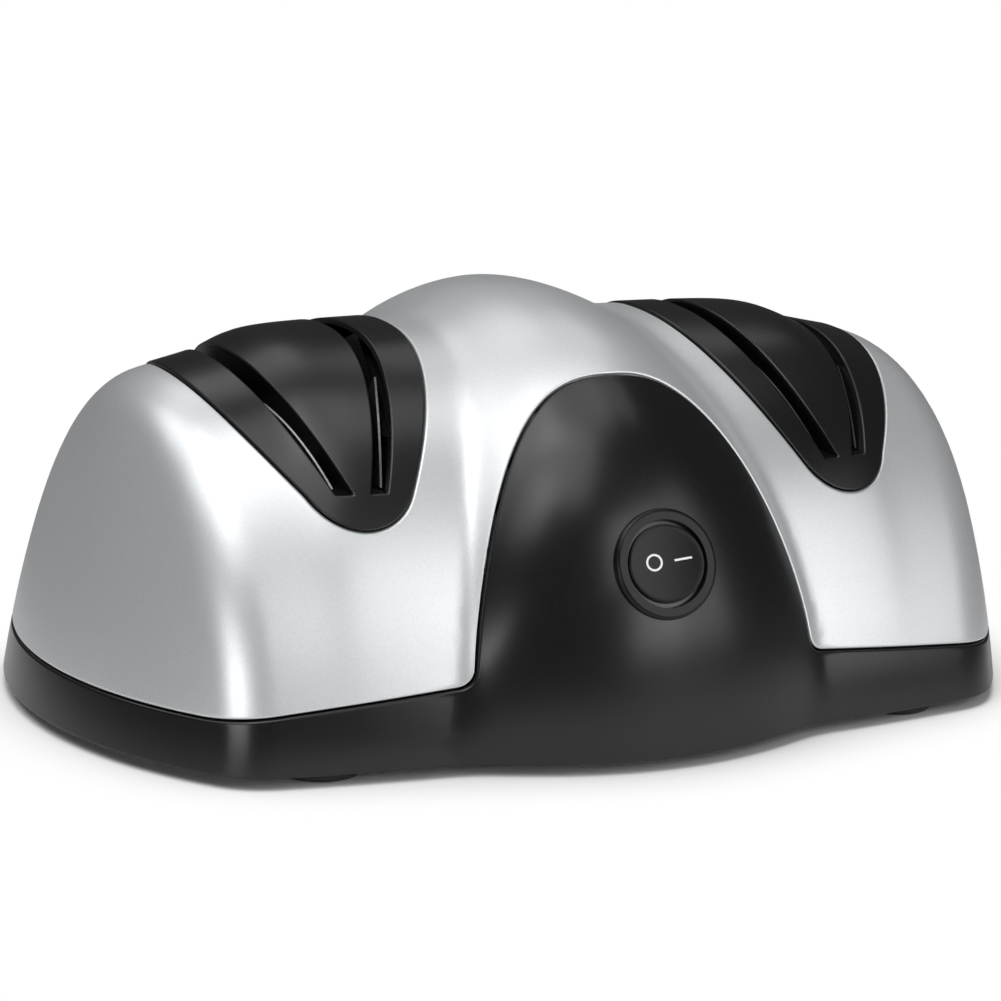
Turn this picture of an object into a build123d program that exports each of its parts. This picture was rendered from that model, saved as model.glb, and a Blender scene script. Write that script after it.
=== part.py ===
"""Two-stage electric knife sharpener: a moulded housing over a shaded-pole motor and two wheels.

Millimetres, +Z up. The origin is on the table, under the middle of the housing. +X is the
user's right, and the switch faces -Y.
"""
from build123d import *
import os
from math import cos, exp, pi, radians, sin, sqrt, tan

os.makedirs("parts", exist_ok=True)

# ---- driving dimensions -------------------------------------------------------------------
LENGTH = 220.0  # over the two end faces, at the table
LOBE_DEPTH = 139.6  # front to back at the middle of the length, without the dome
LOBE_TOP = 78.6  # height of the level part of the lobes' top line
DOME_DEPTH = 156.6  # front to back over the bulging middle
DOME_TOP = 85.6  # overall height
WALL = 2.6  # moulded wall of the cover and the base
SEAM = 0.35  # open seam between neighbouring mouldings
BASE_GAP = 2.3  # the base stands this far above the table, on its feet

# the outer form
HALF_LENGTH = LENGTH / 2
LOBE_TAPER = 12.4  # loss of half depth from the middle to the ends
BACK_TAPER = 33.0  # the same at the back, where the housing draws in more
TOP_SLOPE = 0.21  # fall of the top line towards the ends
SLOPE_START = 56.7  # where the fall begins
SLOPE_BLEND = 60.0  # softness of that bend
TOP_STEP = 2.2  # the top line also steps down softly, just outside the stages' middle
STEP_X = 63.5
STEP_SOFT = 2.0
END_DRAFT = 0.147  # lean of the end faces
END_BOW = 0.0022  # and how the lean grows with height
END_TURN = 3.8  # how far the end faces turn in beyond that bow near the top
END_TURN_Z = 80.0
END_ARC = 91.0  # radius of the end faces, seen from above
END_REACH = 80.0  # half width of the block that cuts the ends
SHOULDER = 8.0  # rounding between the end faces and the lobes
DOME_HALF_WIDTH = 42.7
DOME_ARC = 72.0  # radius of the dome, seen from above
LOBE_POWERS = (2.22, 1.76)  # superellipse powers across and up
DOME_POWERS = (2.17, 2.72)
CROWN_POWERS = (1.774, 0.263)  # how the dome's top line falls away sideways
MEET_POWER = 40  # softness of the hollow between the dome and the lobes
SECTION_PITCH = 8.0
SECTIONS_EACH_SIDE = 14
SECTION_STEPS = 12

# parting line of the cover and the base, and the front arch
PART_AT_ENDS = 13.0
PART_AT_ARCH = 17.7
PART_BEND_X = 90.0
PART_LEVEL_X = 20.0
ARCH_HALF_WIDTH = 38.2
ARCH_FOOT = 14.4
ARCH_TOP = 74.4
ARCH_POWERS = (2.35, 1.6)
ARCH_FLARE = 4.0
LIP_RISE = 2.5  # the base's inner lip stands this far up inside the cover
LIP_GAP = 0.15
LIP_WALL = 1.5

# sharpening stages
STAGE_X = 55.7  # middle of each stage, from the middle of the housing
SLOTS = [(51.75, -22.9), (58.75, 24.9)]  # foot's place along X, and lean outwards in degrees
SLOT_FLOOR_Z = 54.0
SLOT_HIGH_Z = 100.0
SLOT_WIDTH = 3.4  # at the floor, measured level
SLOT_OPENING = 0.02  # gained on each side of a slot per mm of height
GUIDE_WALL = 1.9  # plastic on each side of a slot, inside
GUIDE_DROP = 2.0  # and under its floor
GUIDE_HALF_RUN = 46.0
INSERT_TIP_Z = 47.6
INSERT_PROUD = 0.4
FLANGE_REACH = 3.0  # the insert's flange behind the edge of the cover

# grinding wheels and motor
AXIS_Z = 36.0
WHEEL_R = 26.0
WHEEL_WIDTH = 8.0
SHAFT_R = 3.0
SHAFT_HALF = 67.0
STACK = 20.0  # thickness of the laminated stator
BORE_R = 14.0
ROTOR_R = 13.65
RUNNING_GAP = 0.03

# round rocker switch
SWITCH_Z = 41.4
SWITCH_LEAN = 20.0  # degrees that the panel leans back
SWITCH_FRONT_Y = -73.1
BEZEL_R = 11.2
BEZEL_THICK = 2.2
SEAT_DEPTH = 1.8  # the bezel's seat below the panel's surface
CAN_R = 9.9
CAN_DEPTH = 12.0
WELL_R = 8.9
ROCKER_R = 7.9
ROCK_HALF = 10.0  # degrees either side of level

FOOT_R = 9.0
FOOT_PLACES = [(-66, -54), (66, -54), (-62, 43), (62, 43)]
POST_PLACES = [(-80, -34), (80, -34), (-80, 34), (80, 34)]
MOUNT_PLACES = [(-23, -20), (23, -20), (-23, 38), (23, 38)]
FLOOR = 2.8  # thickness of the base's floor
FLOOR_TOP = BASE_GAP + FLOOR
POST_JOIN_Z = 13.0
GLAND_X, GLAND_Z = 50.0, 9.4
GLAND_FACE_Y = 65.0


# ---- the outer form -----------------------------------------------------------------------
def crown_reach(angle, half_width, height, powers):
    """Distance from the middle of the table line to a superellipse, at an angle above it."""
    near, far = 0.0, 2 * (half_width + height)
    for _ in range(45):
        reach = (near + far) / 2
        across = (reach * abs(cos(angle)) / half_width) ** powers[0]
        up = (reach * sin(angle) / height) ** powers[1]
        if across + up < 1:
            near = reach
        else:
            far = reach
    return near


def lobe_top_line(x):
    past = abs(x) - SLOPE_START
    slope = TOP_SLOPE * (past + sqrt(past**2 + SLOPE_BLEND)) / 2
    return LOBE_TOP - slope - TOP_STEP / (1 + exp((STEP_X - abs(x)) / STEP_SOFT))


def section_points(x, inset):
    """The housing's cross-section at x: the lobe and the dome, met by a soft hollow."""
    points = []
    for step in range(SECTION_STEPS + 1):
        angle = min(max(pi * step / SECTION_STEPS, 1e-9), pi - 1e-9)
        taper = BACK_TAPER if step < SECTION_STEPS / 2 else LOBE_TAPER
        half_depth = LOBE_DEPTH / 2 - taper * (x / HALF_LENGTH) ** 2
        reach = crown_reach(angle, half_depth, lobe_top_line(x), LOBE_POWERS)
        if abs(x) < DOME_HALF_WIDTH - 0.5:
            fall = (abs(x) / DOME_HALF_WIDTH) ** CROWN_POWERS[0]
            height = DOME_TOP * (1 - fall) ** CROWN_POWERS[1]
            half_depth = DOME_DEPTH / 2 - x**2 / (2 * DOME_ARC)
            dome = crown_reach(angle, half_depth, height, DOME_POWERS)
            reach = (reach**MEET_POWER + dome**MEET_POWER) ** (1 / MEET_POWER)
        reach -= inset
        points.append((reach * cos(angle), reach * sin(angle)))
    return points


def end_block(inset):
    """The block between the two bowed, leaning end faces."""
    with BuildPart() as block:
        for z in (-10, 10, 30, 50, 70, 90):
            turn = END_TURN * (max(z, 0) / END_TURN_Z) ** 6
            reach = HALF_LENGTH - END_DRAFT * z - END_BOW * z * z - turn - inset
            corner = reach - END_ARC + sqrt(END_ARC**2 - END_REACH**2)
            with BuildSketch(Plane.XY.offset(z)):
                with BuildLine():
                    ThreePointArc((corner, -END_REACH), (reach, 0), (corner, END_REACH))
                    Line((corner, END_REACH), (-corner, END_REACH))
                    ThreePointArc((-corner, END_REACH), (-reach, 0), (-corner, -END_REACH))
                    Line((-corner, -END_REACH), (corner, -END_REACH))
                make_face()
        loft()
    return block.part


def body_form(inset, rounded=True):
    """The whole outer form, drawn in by inset on every side, solid down to the table."""
    with BuildPart() as form:
        for step in range(-SECTIONS_EACH_SIDE, SECTIONS_EACH_SIDE + 1):
            with BuildSketch(Plane.YZ.offset(step * SECTION_PITCH)):
                with BuildLine():
                    points = section_points(step * SECTION_PITCH, inset)
                    crown = Spline(*points, tangents=((0, 1), (0, -1)))
                    Line(crown @ 1, crown @ 0)
                make_face()
        loft()
        add(end_block(inset), mode=Mode.INTERSECT)
        if rounded:
            rims = form.edges().filter_by(lambda edge: edge.length > 150 and edge.center().Z > 1)
            fillet(rims, SHOULDER - inset)
    return form.part


outer = body_form(0)
inner = body_form(WALL)
lip_outer = body_form(WALL + LIP_GAP)
lip_inner = body_form(WALL + LIP_GAP + LIP_WALL)
proud = body_form(-INSERT_PROUD, rounded=False)


# ---- zones that split the form into its mouldings -----------------------------------------
def base_zone(grow, low=BASE_GAP):
    """Everything that belongs to the black base: the skirt all round and the front arch."""

    def skirt_outline():
        rise = (PART_AT_ARCH - PART_AT_ENDS) / (PART_BEND_X - ARCH_HALF_WIDTH)
        top_end = PART_AT_ENDS + grow
        top_middle = top_end + rise * (PART_BEND_X - PART_LEVEL_X)
        Polyline(
            (-HALF_LENGTH - 5, low),
            (HALF_LENGTH + 5, low),
            (HALF_LENGTH + 5, top_end),
            (PART_BEND_X, top_end),
            (PART_LEVEL_X, top_middle),
            (-PART_LEVEL_X, top_middle),
            (-PART_BEND_X, top_end),
            (-HALF_LENGTH - 5, top_end),
            close=True,
        )

    with BuildPart() as zone:
        with BuildSketch(Plane.XZ):
            with BuildLine():
                skirt_outline()
            make_face()
        extrude(amount=DOME_DEPTH, both=True)
        with BuildSketch(Plane.XZ.offset(20)):
            with BuildLine():
                skirt_outline()
            make_face()
            with BuildLine():
                half_width, rise = ARCH_HALF_WIDTH + grow, ARCH_TOP + grow - ARCH_FOOT
                points = []
                for step in range(13):
                    turn = pi * step / 12
                    across = abs(cos(turn)) ** (2 / ARCH_POWERS[0])
                    up = abs(sin(turn)) ** (2 / ARCH_POWERS[1])
                    side = 1 if step <= 6 else -1
                    points.append((side * half_width * across, ARCH_FOOT + rise * up))
                arch = Spline(*points, tangents=((0, 1), (0, -1)))
                Line(arch @ 1, arch @ 0)
            make_face()
            feet = vertices().filter_by(
                lambda v: 30 < abs(v.X) < PART_BEND_X - 5 and abs(v.Y - PART_AT_ARCH - grow) < 2
            )
            fillet(feet, ARCH_FLARE)
        extrude(amount=DOME_DEPTH)
    return zone.part


def insert_zone(side, grow):
    """The U outline of a stage's insert, seen from the front and run right through."""
    with BuildPart() as zone:
        with BuildSketch(Plane.XZ):
            with BuildLine():
                inner_foot = (side * (STAGE_X - 10.4 - grow), 53.0)
                outer_foot = (side * (STAGE_X + 10.2 + grow), 53.6)
                inner_top = (side * (29.6 - grow), 79.5)
                outer_top = (side * (80.0 + grow), 72.6)
                Line((side * (20 - grow), 95), inner_top)
                ThreePointArc(inner_top, (side * (38.4 - grow), 64.5), inner_foot)
                ThreePointArc(inner_foot, (side * STAGE_X, INSERT_TIP_Z - grow), outer_foot)
                ThreePointArc(outer_foot, (side * (73.4 + grow), 63.2), outer_top)
                Line(outer_top, (side * (98 + grow), 95))
                Line((side * (98 + grow), 95), (side * (20 - grow), 95))
            make_face()
        extrude(amount=DOME_DEPTH, both=True)
    return zone.part


def slot_place(slot, z):
    """Distance of a slot's middle from the middle of the housing, at a height."""
    foot, lean = slot
    return foot + tan(radians(lean)) * (z - SLOT_FLOOR_Z)


def slot_bars(side, wall, drop, half_run):
    """The two leaning bars of a stage: its slots, or with a wall the plastic round them."""
    with BuildPart() as bars:
        with BuildSketch(Plane.XZ):
            for slot in SLOTS:
                corners = []
                for z, edge in (
                    (SLOT_FLOOR_Z - drop, -1),
                    (SLOT_FLOOR_Z - drop, 1),
                    (SLOT_HIGH_Z, 1),
                    (SLOT_HIGH_Z, -1),
                ):
                    half = SLOT_WIDTH / 2 + SLOT_OPENING * (z - SLOT_FLOOR_Z) + wall
                    corners.append((side * (slot_place(slot, z) + edge * half), z))
                with BuildLine():
                    Polyline(*corners, close=True)
                make_face()
        extrude(amount=half_run, both=True)
    return bars.part


def ring_along_x(start, length, radius, bore=0.0):
    """A disc or ring on the motor's axis."""
    with BuildPart() as ring:
        with BuildSketch(Plane.YZ.offset(start)):
            with Locations((0, AXIS_Z)):
                Circle(radius)
                if bore:
                    Circle(bore, mode=Mode.SUBTRACT)
        extrude(amount=length)
    return ring.part


def upright(places, low, high, radius, bore=0.0):
    """Round posts, or the plugs of round holes, at places."""
    with BuildPart() as posts:
        with BuildSketch(Plane.XY.offset(low)):
            with Locations(*places):
                Circle(radius)
                if bore:
                    Circle(bore, mode=Mode.SUBTRACT)
        extrude(amount=high - low)
    return posts.part


def save(piece, name):
    piece.label = name
    export_step(piece, f"parts/{name}.step")


switch_plane = Plane(
    origin=(0, SWITCH_FRONT_Y, SWITCH_Z),
    x_dir=(1, 0, 0),
    z_dir=(0, -cos(radians(SWITCH_LEAN)), sin(radians(SWITCH_LEAN))),
)

# ---- housing ------------------------------------------------------------------------------
with BuildPart() as post_room:
    add(upright(POST_PLACES, POST_JOIN_Z, DOME_TOP, 4.2))
    add(body_form(WALL - 0.6, rounded=False), mode=Mode.INTERSECT)

with BuildPart() as top_cover:
    add(outer)
    add(inner, mode=Mode.SUBTRACT)
    add(base_zone(SEAM, low=-5), mode=Mode.SUBTRACT)
    for side in (-1, 1):
        add(insert_zone(side, SEAM), mode=Mode.SUBTRACT)
    add(post_room.part)
    add(upright(POST_PLACES, POST_JOIN_Z, POST_JOIN_Z + 14, 1.5), mode=Mode.SUBTRACT)
save(top_cover.part, "top_cover")

with BuildPart() as lip:
    add(lip_outer)
    add(lip_inner, mode=Mode.SUBTRACT)
    add(base_zone(LIP_RISE), mode=Mode.INTERSECT)

with BuildPart() as floor_plate:
    add(outer)
    with BuildSketch(Plane.XY.offset(BASE_GAP)):
        Rectangle(LENGTH + 10, DOME_DEPTH + 10)
    extrude(amount=FLOOR, mode=Mode.INTERSECT)

with BuildPart() as switch_boss:
    with BuildSketch(switch_plane.offset(2)):
        Circle(BEZEL_R + 2.4)
    extrude(amount=-SEAT_DEPTH - WALL - 2.4)
    add(outer, mode=Mode.INTERSECT)

with BuildPart() as base_housing:
    add(outer)
    add(inner, mode=Mode.SUBTRACT)
    add(base_zone(0), mode=Mode.INTERSECT)
    add(lip.part)
    add(floor_plate.part)
    add(switch_boss.part)
    add(upright(POST_PLACES, BASE_GAP, POST_JOIN_Z, 5.4))
    add(upright(MOUNT_PLACES, BASE_GAP, 8.0, 5.0))
    with BuildSketch(Plane.XZ.offset(-55)):
        with Locations((GLAND_X, GLAND_Z)):
            Circle(6.6)
    extrude(amount=55 - GLAND_FACE_Y)
    # holes for the screws, the feet, the gland, the air and the switch
    add(upright(POST_PLACES, 0, POST_JOIN_Z + 1, 1.9), mode=Mode.SUBTRACT)
    add(upright(POST_PLACES, 0, 8.0, 3.8), mode=Mode.SUBTRACT)
    add(upright(MOUNT_PLACES, FLOOR_TOP - 1, 9.0, 1.2), mode=Mode.SUBTRACT)
    add(upright(FOOT_PLACES, 0, BASE_GAP + 1.0, FOOT_R), mode=Mode.SUBTRACT)
    add(upright(FOOT_PLACES, 0, FLOOR_TOP + 1, 2.5), mode=Mode.SUBTRACT)
    with BuildSketch(Plane.XZ.offset(-40)):
        with Locations((GLAND_X, GLAND_Z)):
            Circle(4.0)
    extrude(amount=-40, mode=Mode.SUBTRACT)
    with BuildSketch():
        with Locations((0, 9)):
            with GridLocations(6.0, 1, 5, 1):
                SlotOverall(34, 2.4, rotation=90)
    extrude(amount=FLOOR_TOP + 1, mode=Mode.SUBTRACT)
    with BuildSketch(switch_plane.offset(-SEAT_DEPTH)):
        Circle(BEZEL_R + 0.5)
    extrude(amount=8, mode=Mode.SUBTRACT)
    with BuildSketch(switch_plane.offset(-SEAT_DEPTH - 12)):
        Circle(CAN_R + 0.15)
    extrude(amount=14, mode=Mode.SUBTRACT)
save(base_housing.part, "base_housing")


# ---- sharpening stages --------------------------------------------------------------------
def slot_insert(side):
    """Saddle that drapes over a lobe, with two leaning blade slots and their guide walls."""
    with BuildPart() as flange:
        add(lip_outer)
        add(lip_inner, mode=Mode.SUBTRACT)
        add(insert_zone(side, FLANGE_REACH), mode=Mode.INTERSECT)
    with BuildPart() as guides:
        add(slot_bars(side, GUIDE_WALL, GUIDE_DROP, GUIDE_HALF_RUN))
        add(lip_outer, mode=Mode.INTERSECT)
    with BuildPart() as insert:
        add(proud)
        add(lip_inner, mode=Mode.SUBTRACT)
        add(insert_zone(side, 0), mode=Mode.INTERSECT)
        add(flange.part)
        add(guides.part)
        add(slot_bars(side, 0, 0, DOME_DEPTH), mode=Mode.SUBTRACT)
        room = WHEEL_WIDTH + 3
        with BuildSketch(Plane.YZ.offset(side * STAGE_X - room / 2)):
            with Locations((0, AXIS_Z)):
                Circle(WHEEL_R + 1.5)
        extrude(amount=room, mode=Mode.SUBTRACT)
    return insert.part


LEAF = 0.4  # thickness of a spring
LEAF_BOW = 0.9
LEAF_NEAR, LEAF_FAR = 24.0, 47.0  # along Y, from the middle of the housing
LEAF_TOP, LEAF_FOOT = 1.6, 8.0  # below the skin
LEAF_LIFT = 1.0  # above the slot's floor


def guide_springs(side):
    """Bowed steel leaves, one at each end of each slot, along the wall away from its neighbour."""
    with BuildPart() as leaves:
        for slot in SLOTS:
            lean = radians(slot[1]) * side
            outwards = 1 if slot[1] > 0 else -1
            foot = (side * slot[0], 0, SLOT_FLOOR_Z)
            seat = Plane(origin=foot, x_dir=(cos(lean), 0, -sin(lean)), z_dir=(sin(lean), 0, cos(lean)))
            wall = side * outwards * SLOT_WIDTH / 2 * cos(lean)
            bowed = wall - side * outwards * LEAF_BOW
            skin = side * outwards * LEAF
            middle = (LEAF_NEAR + LEAF_FAR) / 2
            for end in (-1, 1):
                with BuildSketch(seat.offset(LEAF_LIFT)):
                    with BuildLine():
                        near, crest, far = end * LEAF_NEAR, end * middle, end * LEAF_FAR
                        ThreePointArc((wall, near), (bowed, crest), (wall, far))
                        Line((wall, far), (wall - skin, far))
                        ThreePointArc((wall - skin, far), (bowed - skin, crest), (wall - skin, near))
                        Line((wall - skin, near), (wall, near))
                    make_face()
                extrude(amount=SLOT_HIGH_Z - SLOT_FLOOR_Z)
        add(body_form(LEAF_TOP, rounded=False), mode=Mode.INTERSECT)
        add(body_form(LEAF_FOOT, rounded=False), mode=Mode.SUBTRACT)
    return leaves.part


for side, name in ((-1, "left"), (1, "right")):
    save(slot_insert(side), f"slot_insert_{name}")
    save(guide_springs(side), f"guide_springs_{name}")

# ---- grinding wheels, on the motor's shaft ------------------------------------------------
WHEEL_BORE = 6.0
FLANGE_R = 11.0
FLANGE_THICK = 1.6
NUT_THICK = 4.0


def grinding_wheel(side):
    with BuildPart() as wheel:
        add(ring_along_x(side * STAGE_X - WHEEL_WIDTH / 2, WHEEL_WIDTH, WHEEL_R, WHEEL_BORE))
        rims = wheel.edges().filter_by(GeomType.CIRCLE).sort_by(SortBy.RADIUS)[-2:]
        chamfer(rims, 0.8)
    return wheel.part


def wheel_hub(side):
    """Sleeve that carries a wheel, with the inner clamping flange."""
    with BuildPart() as hub:
        face = STAGE_X - WHEEL_WIDTH / 2
        sleeve_start = face - FLANGE_THICK - 2
        sleeve = WHEEL_WIDTH + FLANGE_THICK + 2
        low = sleeve_start if side > 0 else -sleeve_start - sleeve
        add(ring_along_x(low, sleeve, WHEEL_BORE, SHAFT_R))
        low = face - FLANGE_THICK if side > 0 else -face
        add(ring_along_x(low, FLANGE_THICK, FLANGE_R, SHAFT_R))
    return hub.part


save(grinding_wheel(-1), "coarse_wheel")
save(grinding_wheel(1), "fine_wheel")
save(wheel_hub(-1), "wheel_hub_left")
save(wheel_hub(1), "wheel_hub_right")

outer_face = STAGE_X + WHEEL_WIDTH / 2
with BuildPart() as wheel_washers:
    add(ring_along_x(outer_face, FLANGE_THICK, FLANGE_R, SHAFT_R))
    add(ring_along_x(-outer_face - FLANGE_THICK, FLANGE_THICK, FLANGE_R, SHAFT_R))
save(wheel_washers.part, "wheel_washers")

with BuildPart() as wheel_nuts:
    for start in (outer_face + FLANGE_THICK, -outer_face - FLANGE_THICK - NUT_THICK):
        with BuildSketch(Plane.YZ.offset(start)):
            with Locations((0, AXIS_Z)):
                RegularPolygon(5.0, 6, major_radius=False)
                Circle(SHAFT_R, mode=Mode.SUBTRACT)
        extrude(amount=NUT_THICK)
save(wheel_nuts.part, "wheel_nuts")

with BuildPart() as motor_shaft:
    add(ring_along_x(-SHAFT_HALF, 2 * SHAFT_HALF, SHAFT_R))
    chamfer(motor_shaft.edges().filter_by(GeomType.CIRCLE), 0.5)
save(motor_shaft.part, "motor_shaft")

with BuildPart() as rotor_core:
    add(ring_along_x(-STACK / 2, STACK, ROTOR_R, SHAFT_R))
    add(ring_along_x(STACK / 2, 2, ROTOR_R - 1.5, SHAFT_R))
    add(ring_along_x(-STACK / 2 - 2, 2, ROTOR_R - 1.5, SHAFT_R))
save(rotor_core.part, "rotor_core")

FAN_START = 32.0
with BuildPart() as cooling_fan:
    add(ring_along_x(FAN_START, 8, 5.5, SHAFT_R))
    add(ring_along_x(FAN_START, 1.2, 18, SHAFT_R))
    with BuildSketch(Plane.YZ.offset(FAN_START)):
        with Locations((0, AXIS_Z)):
            with PolarLocations(11.5, 8):
                Rectangle(12.8, 1.2)
    extrude(amount=7)
save(cooling_fan.part, "cooling_fan")

# ---- motor --------------------------------------------------------------------------------
CORE_LOW, CORE_HIGH = 12.0, 60.0
CORE_FRONT, CORE_BACK = -25.0, 45.0
WINDOW_FRONT, WINDOW_BACK = 19.5, 36.5
WINDOW_LOW, WINDOW_HIGH = 22.0, 50.0
BOLT_PLACES = [(0, 16.6), (0, 55.4)]
core_mid = ((CORE_FRONT + CORE_BACK) / 2, (CORE_LOW + CORE_HIGH) / 2)
window_mid = ((WINDOW_FRONT + WINDOW_BACK) / 2, (WINDOW_LOW + WINDOW_HIGH) / 2)

with BuildPart() as motor_stator:
    with BuildSketch(Plane.YZ.offset(-STACK / 2)):
        with Locations(core_mid):
            RectangleRounded(CORE_BACK - CORE_FRONT, CORE_HIGH - CORE_LOW, 4)
        with Locations(window_mid):
            Rectangle(WINDOW_BACK - WINDOW_FRONT, WINDOW_HIGH - WINDOW_LOW, mode=Mode.SUBTRACT)
        with Locations((0, AXIS_Z)):
            Circle(BORE_R, mode=Mode.SUBTRACT)
        with Locations(*BOLT_PLACES):
            Circle(1.6, mode=Mode.SUBTRACT)
    extrude(amount=STACK)
save(motor_stator.part, "motor_stator")

LIMB_MID = (0, (WINDOW_BACK + CORE_BACK) / 2)
LIMB = (STACK, CORE_BACK - WINDOW_BACK)
BOBBIN_WALL = 1.5
FLANGE_SIZE = (46, 33)
with BuildPart() as coil_bobbin:
    with BuildSketch(Plane.XY.offset(WINDOW_LOW)):
        with Locations(LIMB_MID):
            Rectangle(LIMB[0] + 2 * BOBBIN_WALL, LIMB[1] + 2 * BOBBIN_WALL)
    extrude(amount=WINDOW_HIGH - WINDOW_LOW)
    for z in (WINDOW_LOW, WINDOW_HIGH - BOBBIN_WALL):
        with BuildSketch(Plane.XY.offset(z)):
            with Locations(LIMB_MID):
                RectangleRounded(*FLANGE_SIZE, 4)
        extrude(amount=BOBBIN_WALL)
    with BuildSketch(Plane.XY.offset(WINDOW_LOW)):
        with Locations(LIMB_MID):
            Rectangle(*LIMB)
    extrude(amount=WINDOW_HIGH - WINDOW_LOW, mode=Mode.SUBTRACT)
save(coil_bobbin.part, "coil_bobbin")

with BuildPart() as coil_winding:
    with BuildSketch(Plane.XY.offset(WINDOW_LOW + BOBBIN_WALL)):
        with Locations(LIMB_MID):
            RectangleRounded(FLANGE_SIZE[0] - 4, FLANGE_SIZE[1] - 4, 8)
            Rectangle(LIMB[0] + 2 * BOBBIN_WALL, LIMB[1] + 2 * BOBBIN_WALL, mode=Mode.SUBTRACT)
    extrude(amount=WINDOW_HIGH - WINDOW_LOW - 2 * BOBBIN_WALL)
save(coil_winding.part, "coil_winding")

BUSH_R = 6.0
BRIDGE_X = 25.0


def bearing_bracket(side):
    """Pressed steel bridge over the rotor's end, with a boss for the bush."""
    with BuildPart() as bracket:
        with BuildSketch(Plane.XZ):
            with BuildLine():
                Polyline(
                    (side * (STACK / 2 + 1), CORE_HIGH - 1.5),
                    (side * (STACK / 2 + 1), CORE_HIGH - 8),
                    (side * BRIDGE_X, CORE_HIGH - 13),
                    (side * BRIDGE_X, CORE_LOW + 13),
                    (side * (STACK / 2 + 1), CORE_LOW + 8),
                    (side * (STACK / 2 + 1), CORE_LOW + 1.5),
                )
            trace(line_width=2)
        extrude(amount=7, both=True)
        add(ring_along_x(side * BRIDGE_X - 3, 6, BUSH_R + 2.4))
        with BuildSketch(Plane.YZ.offset(side * BRIDGE_X - 4)):
            with Locations((0, AXIS_Z)):
                Circle(BUSH_R)
        extrude(amount=8, mode=Mode.SUBTRACT)
        with BuildSketch(Plane.YZ):
            with Locations(*BOLT_PLACES):
                Circle(1.6)
        extrude(amount=side * (STACK / 2 + 3), mode=Mode.SUBTRACT)
    return bracket.part


def bearing_bush(side):
    with BuildPart() as bush:
        add(ring_along_x(side * BRIDGE_X - 4, 8, BUSH_R, SHAFT_R + RUNNING_GAP))
    return bush.part


for side, name in ((-1, "left"), (1, "right")):
    save(bearing_bracket(side), f"bearing_bracket_{name}")
    save(bearing_bush(side), f"bearing_bush_{name}")

with BuildPart() as stator_bolts:
    reach = STACK / 2 + 2
    with BuildSketch(Plane.YZ.offset(-reach)):
        with Locations(*BOLT_PLACES):
            Circle(1.6)
    extrude(amount=2 * reach)
    for start in (-reach - 2.2, reach):
        with BuildSketch(Plane.YZ.offset(start)):
            with Locations(*BOLT_PLACES):
                RegularPolygon(2.7, 6, major_radius=False)
        extrude(amount=2.2)
save(stator_bolts.part, "stator_bolts")

PLATE = 1.5
with BuildPart() as motor_mount_plate:
    with BuildSketch(Plane.XY.offset(CORE_LOW - PLATE)):
        with Locations((0, 9)):
            RectangleRounded(58, 72, 5)
            Rectangle(24, 30, mode=Mode.SUBTRACT)
        with Locations(*MOUNT_PLACES):
            Circle(2.0, mode=Mode.SUBTRACT)
    extrude(amount=PLATE)
save(motor_mount_plate.part, "motor_mount_plate")

with BuildPart() as motor_grommets:
    add(upright(MOUNT_PLACES, 8.0, CORE_LOW - PLATE, 4.6, 2.0))
save(motor_grommets.part, "motor_grommets")

with BuildPart() as motor_screws:
    add(upright(MOUNT_PLACES, CORE_LOW, CORE_LOW + 1.6, 3.4))
    add(upright(MOUNT_PLACES, FLOOR_TOP - 1, CORE_LOW, 1.2))
save(motor_screws.part, "motor_screws")

with BuildPart() as housing_screws:
    add(upright(POST_PLACES, 6.0, 8.0, 3.4))
    add(upright(POST_PLACES, 8.0, POST_JOIN_Z + 12, 1.5))
save(housing_screws.part, "housing_screws")

# ---- switch -------------------------------------------------------------------------------
PIVOT_DROP = 2.6  # the rocker's axis below the bezel's front face
PIVOT_R = 1.0
ROCKER_RISE = 3.1  # middle of the rocker's face, above its axis
ROCKER_HOLLOW = 0.8  # the rims stand this much higher than the middle
ROCKER_KEEL = 1.2
bezel_front = switch_plane.offset(-SEAT_DEPTH + BEZEL_THICK)
pivot_plane = bezel_front.offset(-PIVOT_DROP)

with BuildPart() as switch_housing:
    with BuildSketch(switch_plane.offset(-SEAT_DEPTH)):
        Circle(BEZEL_R)
    extrude(amount=BEZEL_THICK)
    fillet(switch_housing.edges().sort_by(Axis(pivot_plane.origin, pivot_plane.z_dir))[-1], 0.9)
    with BuildSketch(switch_plane.offset(-SEAT_DEPTH)):
        Circle(CAN_R)
    extrude(amount=-CAN_DEPTH)
    with BuildSketch(bezel_front.offset(1)):
        Circle(WELL_R)
    extrude(amount=-10, mode=Mode.SUBTRACT)
    with BuildSketch(Plane(origin=pivot_plane.origin, x_dir=(1, 0, 0), z_dir=pivot_plane.y_dir)):
        Circle(PIVOT_R + 0.05)
    extrude(amount=WELL_R + 0.75, both=True, mode=Mode.SUBTRACT)
save(switch_housing.part, "switch_housing")

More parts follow.
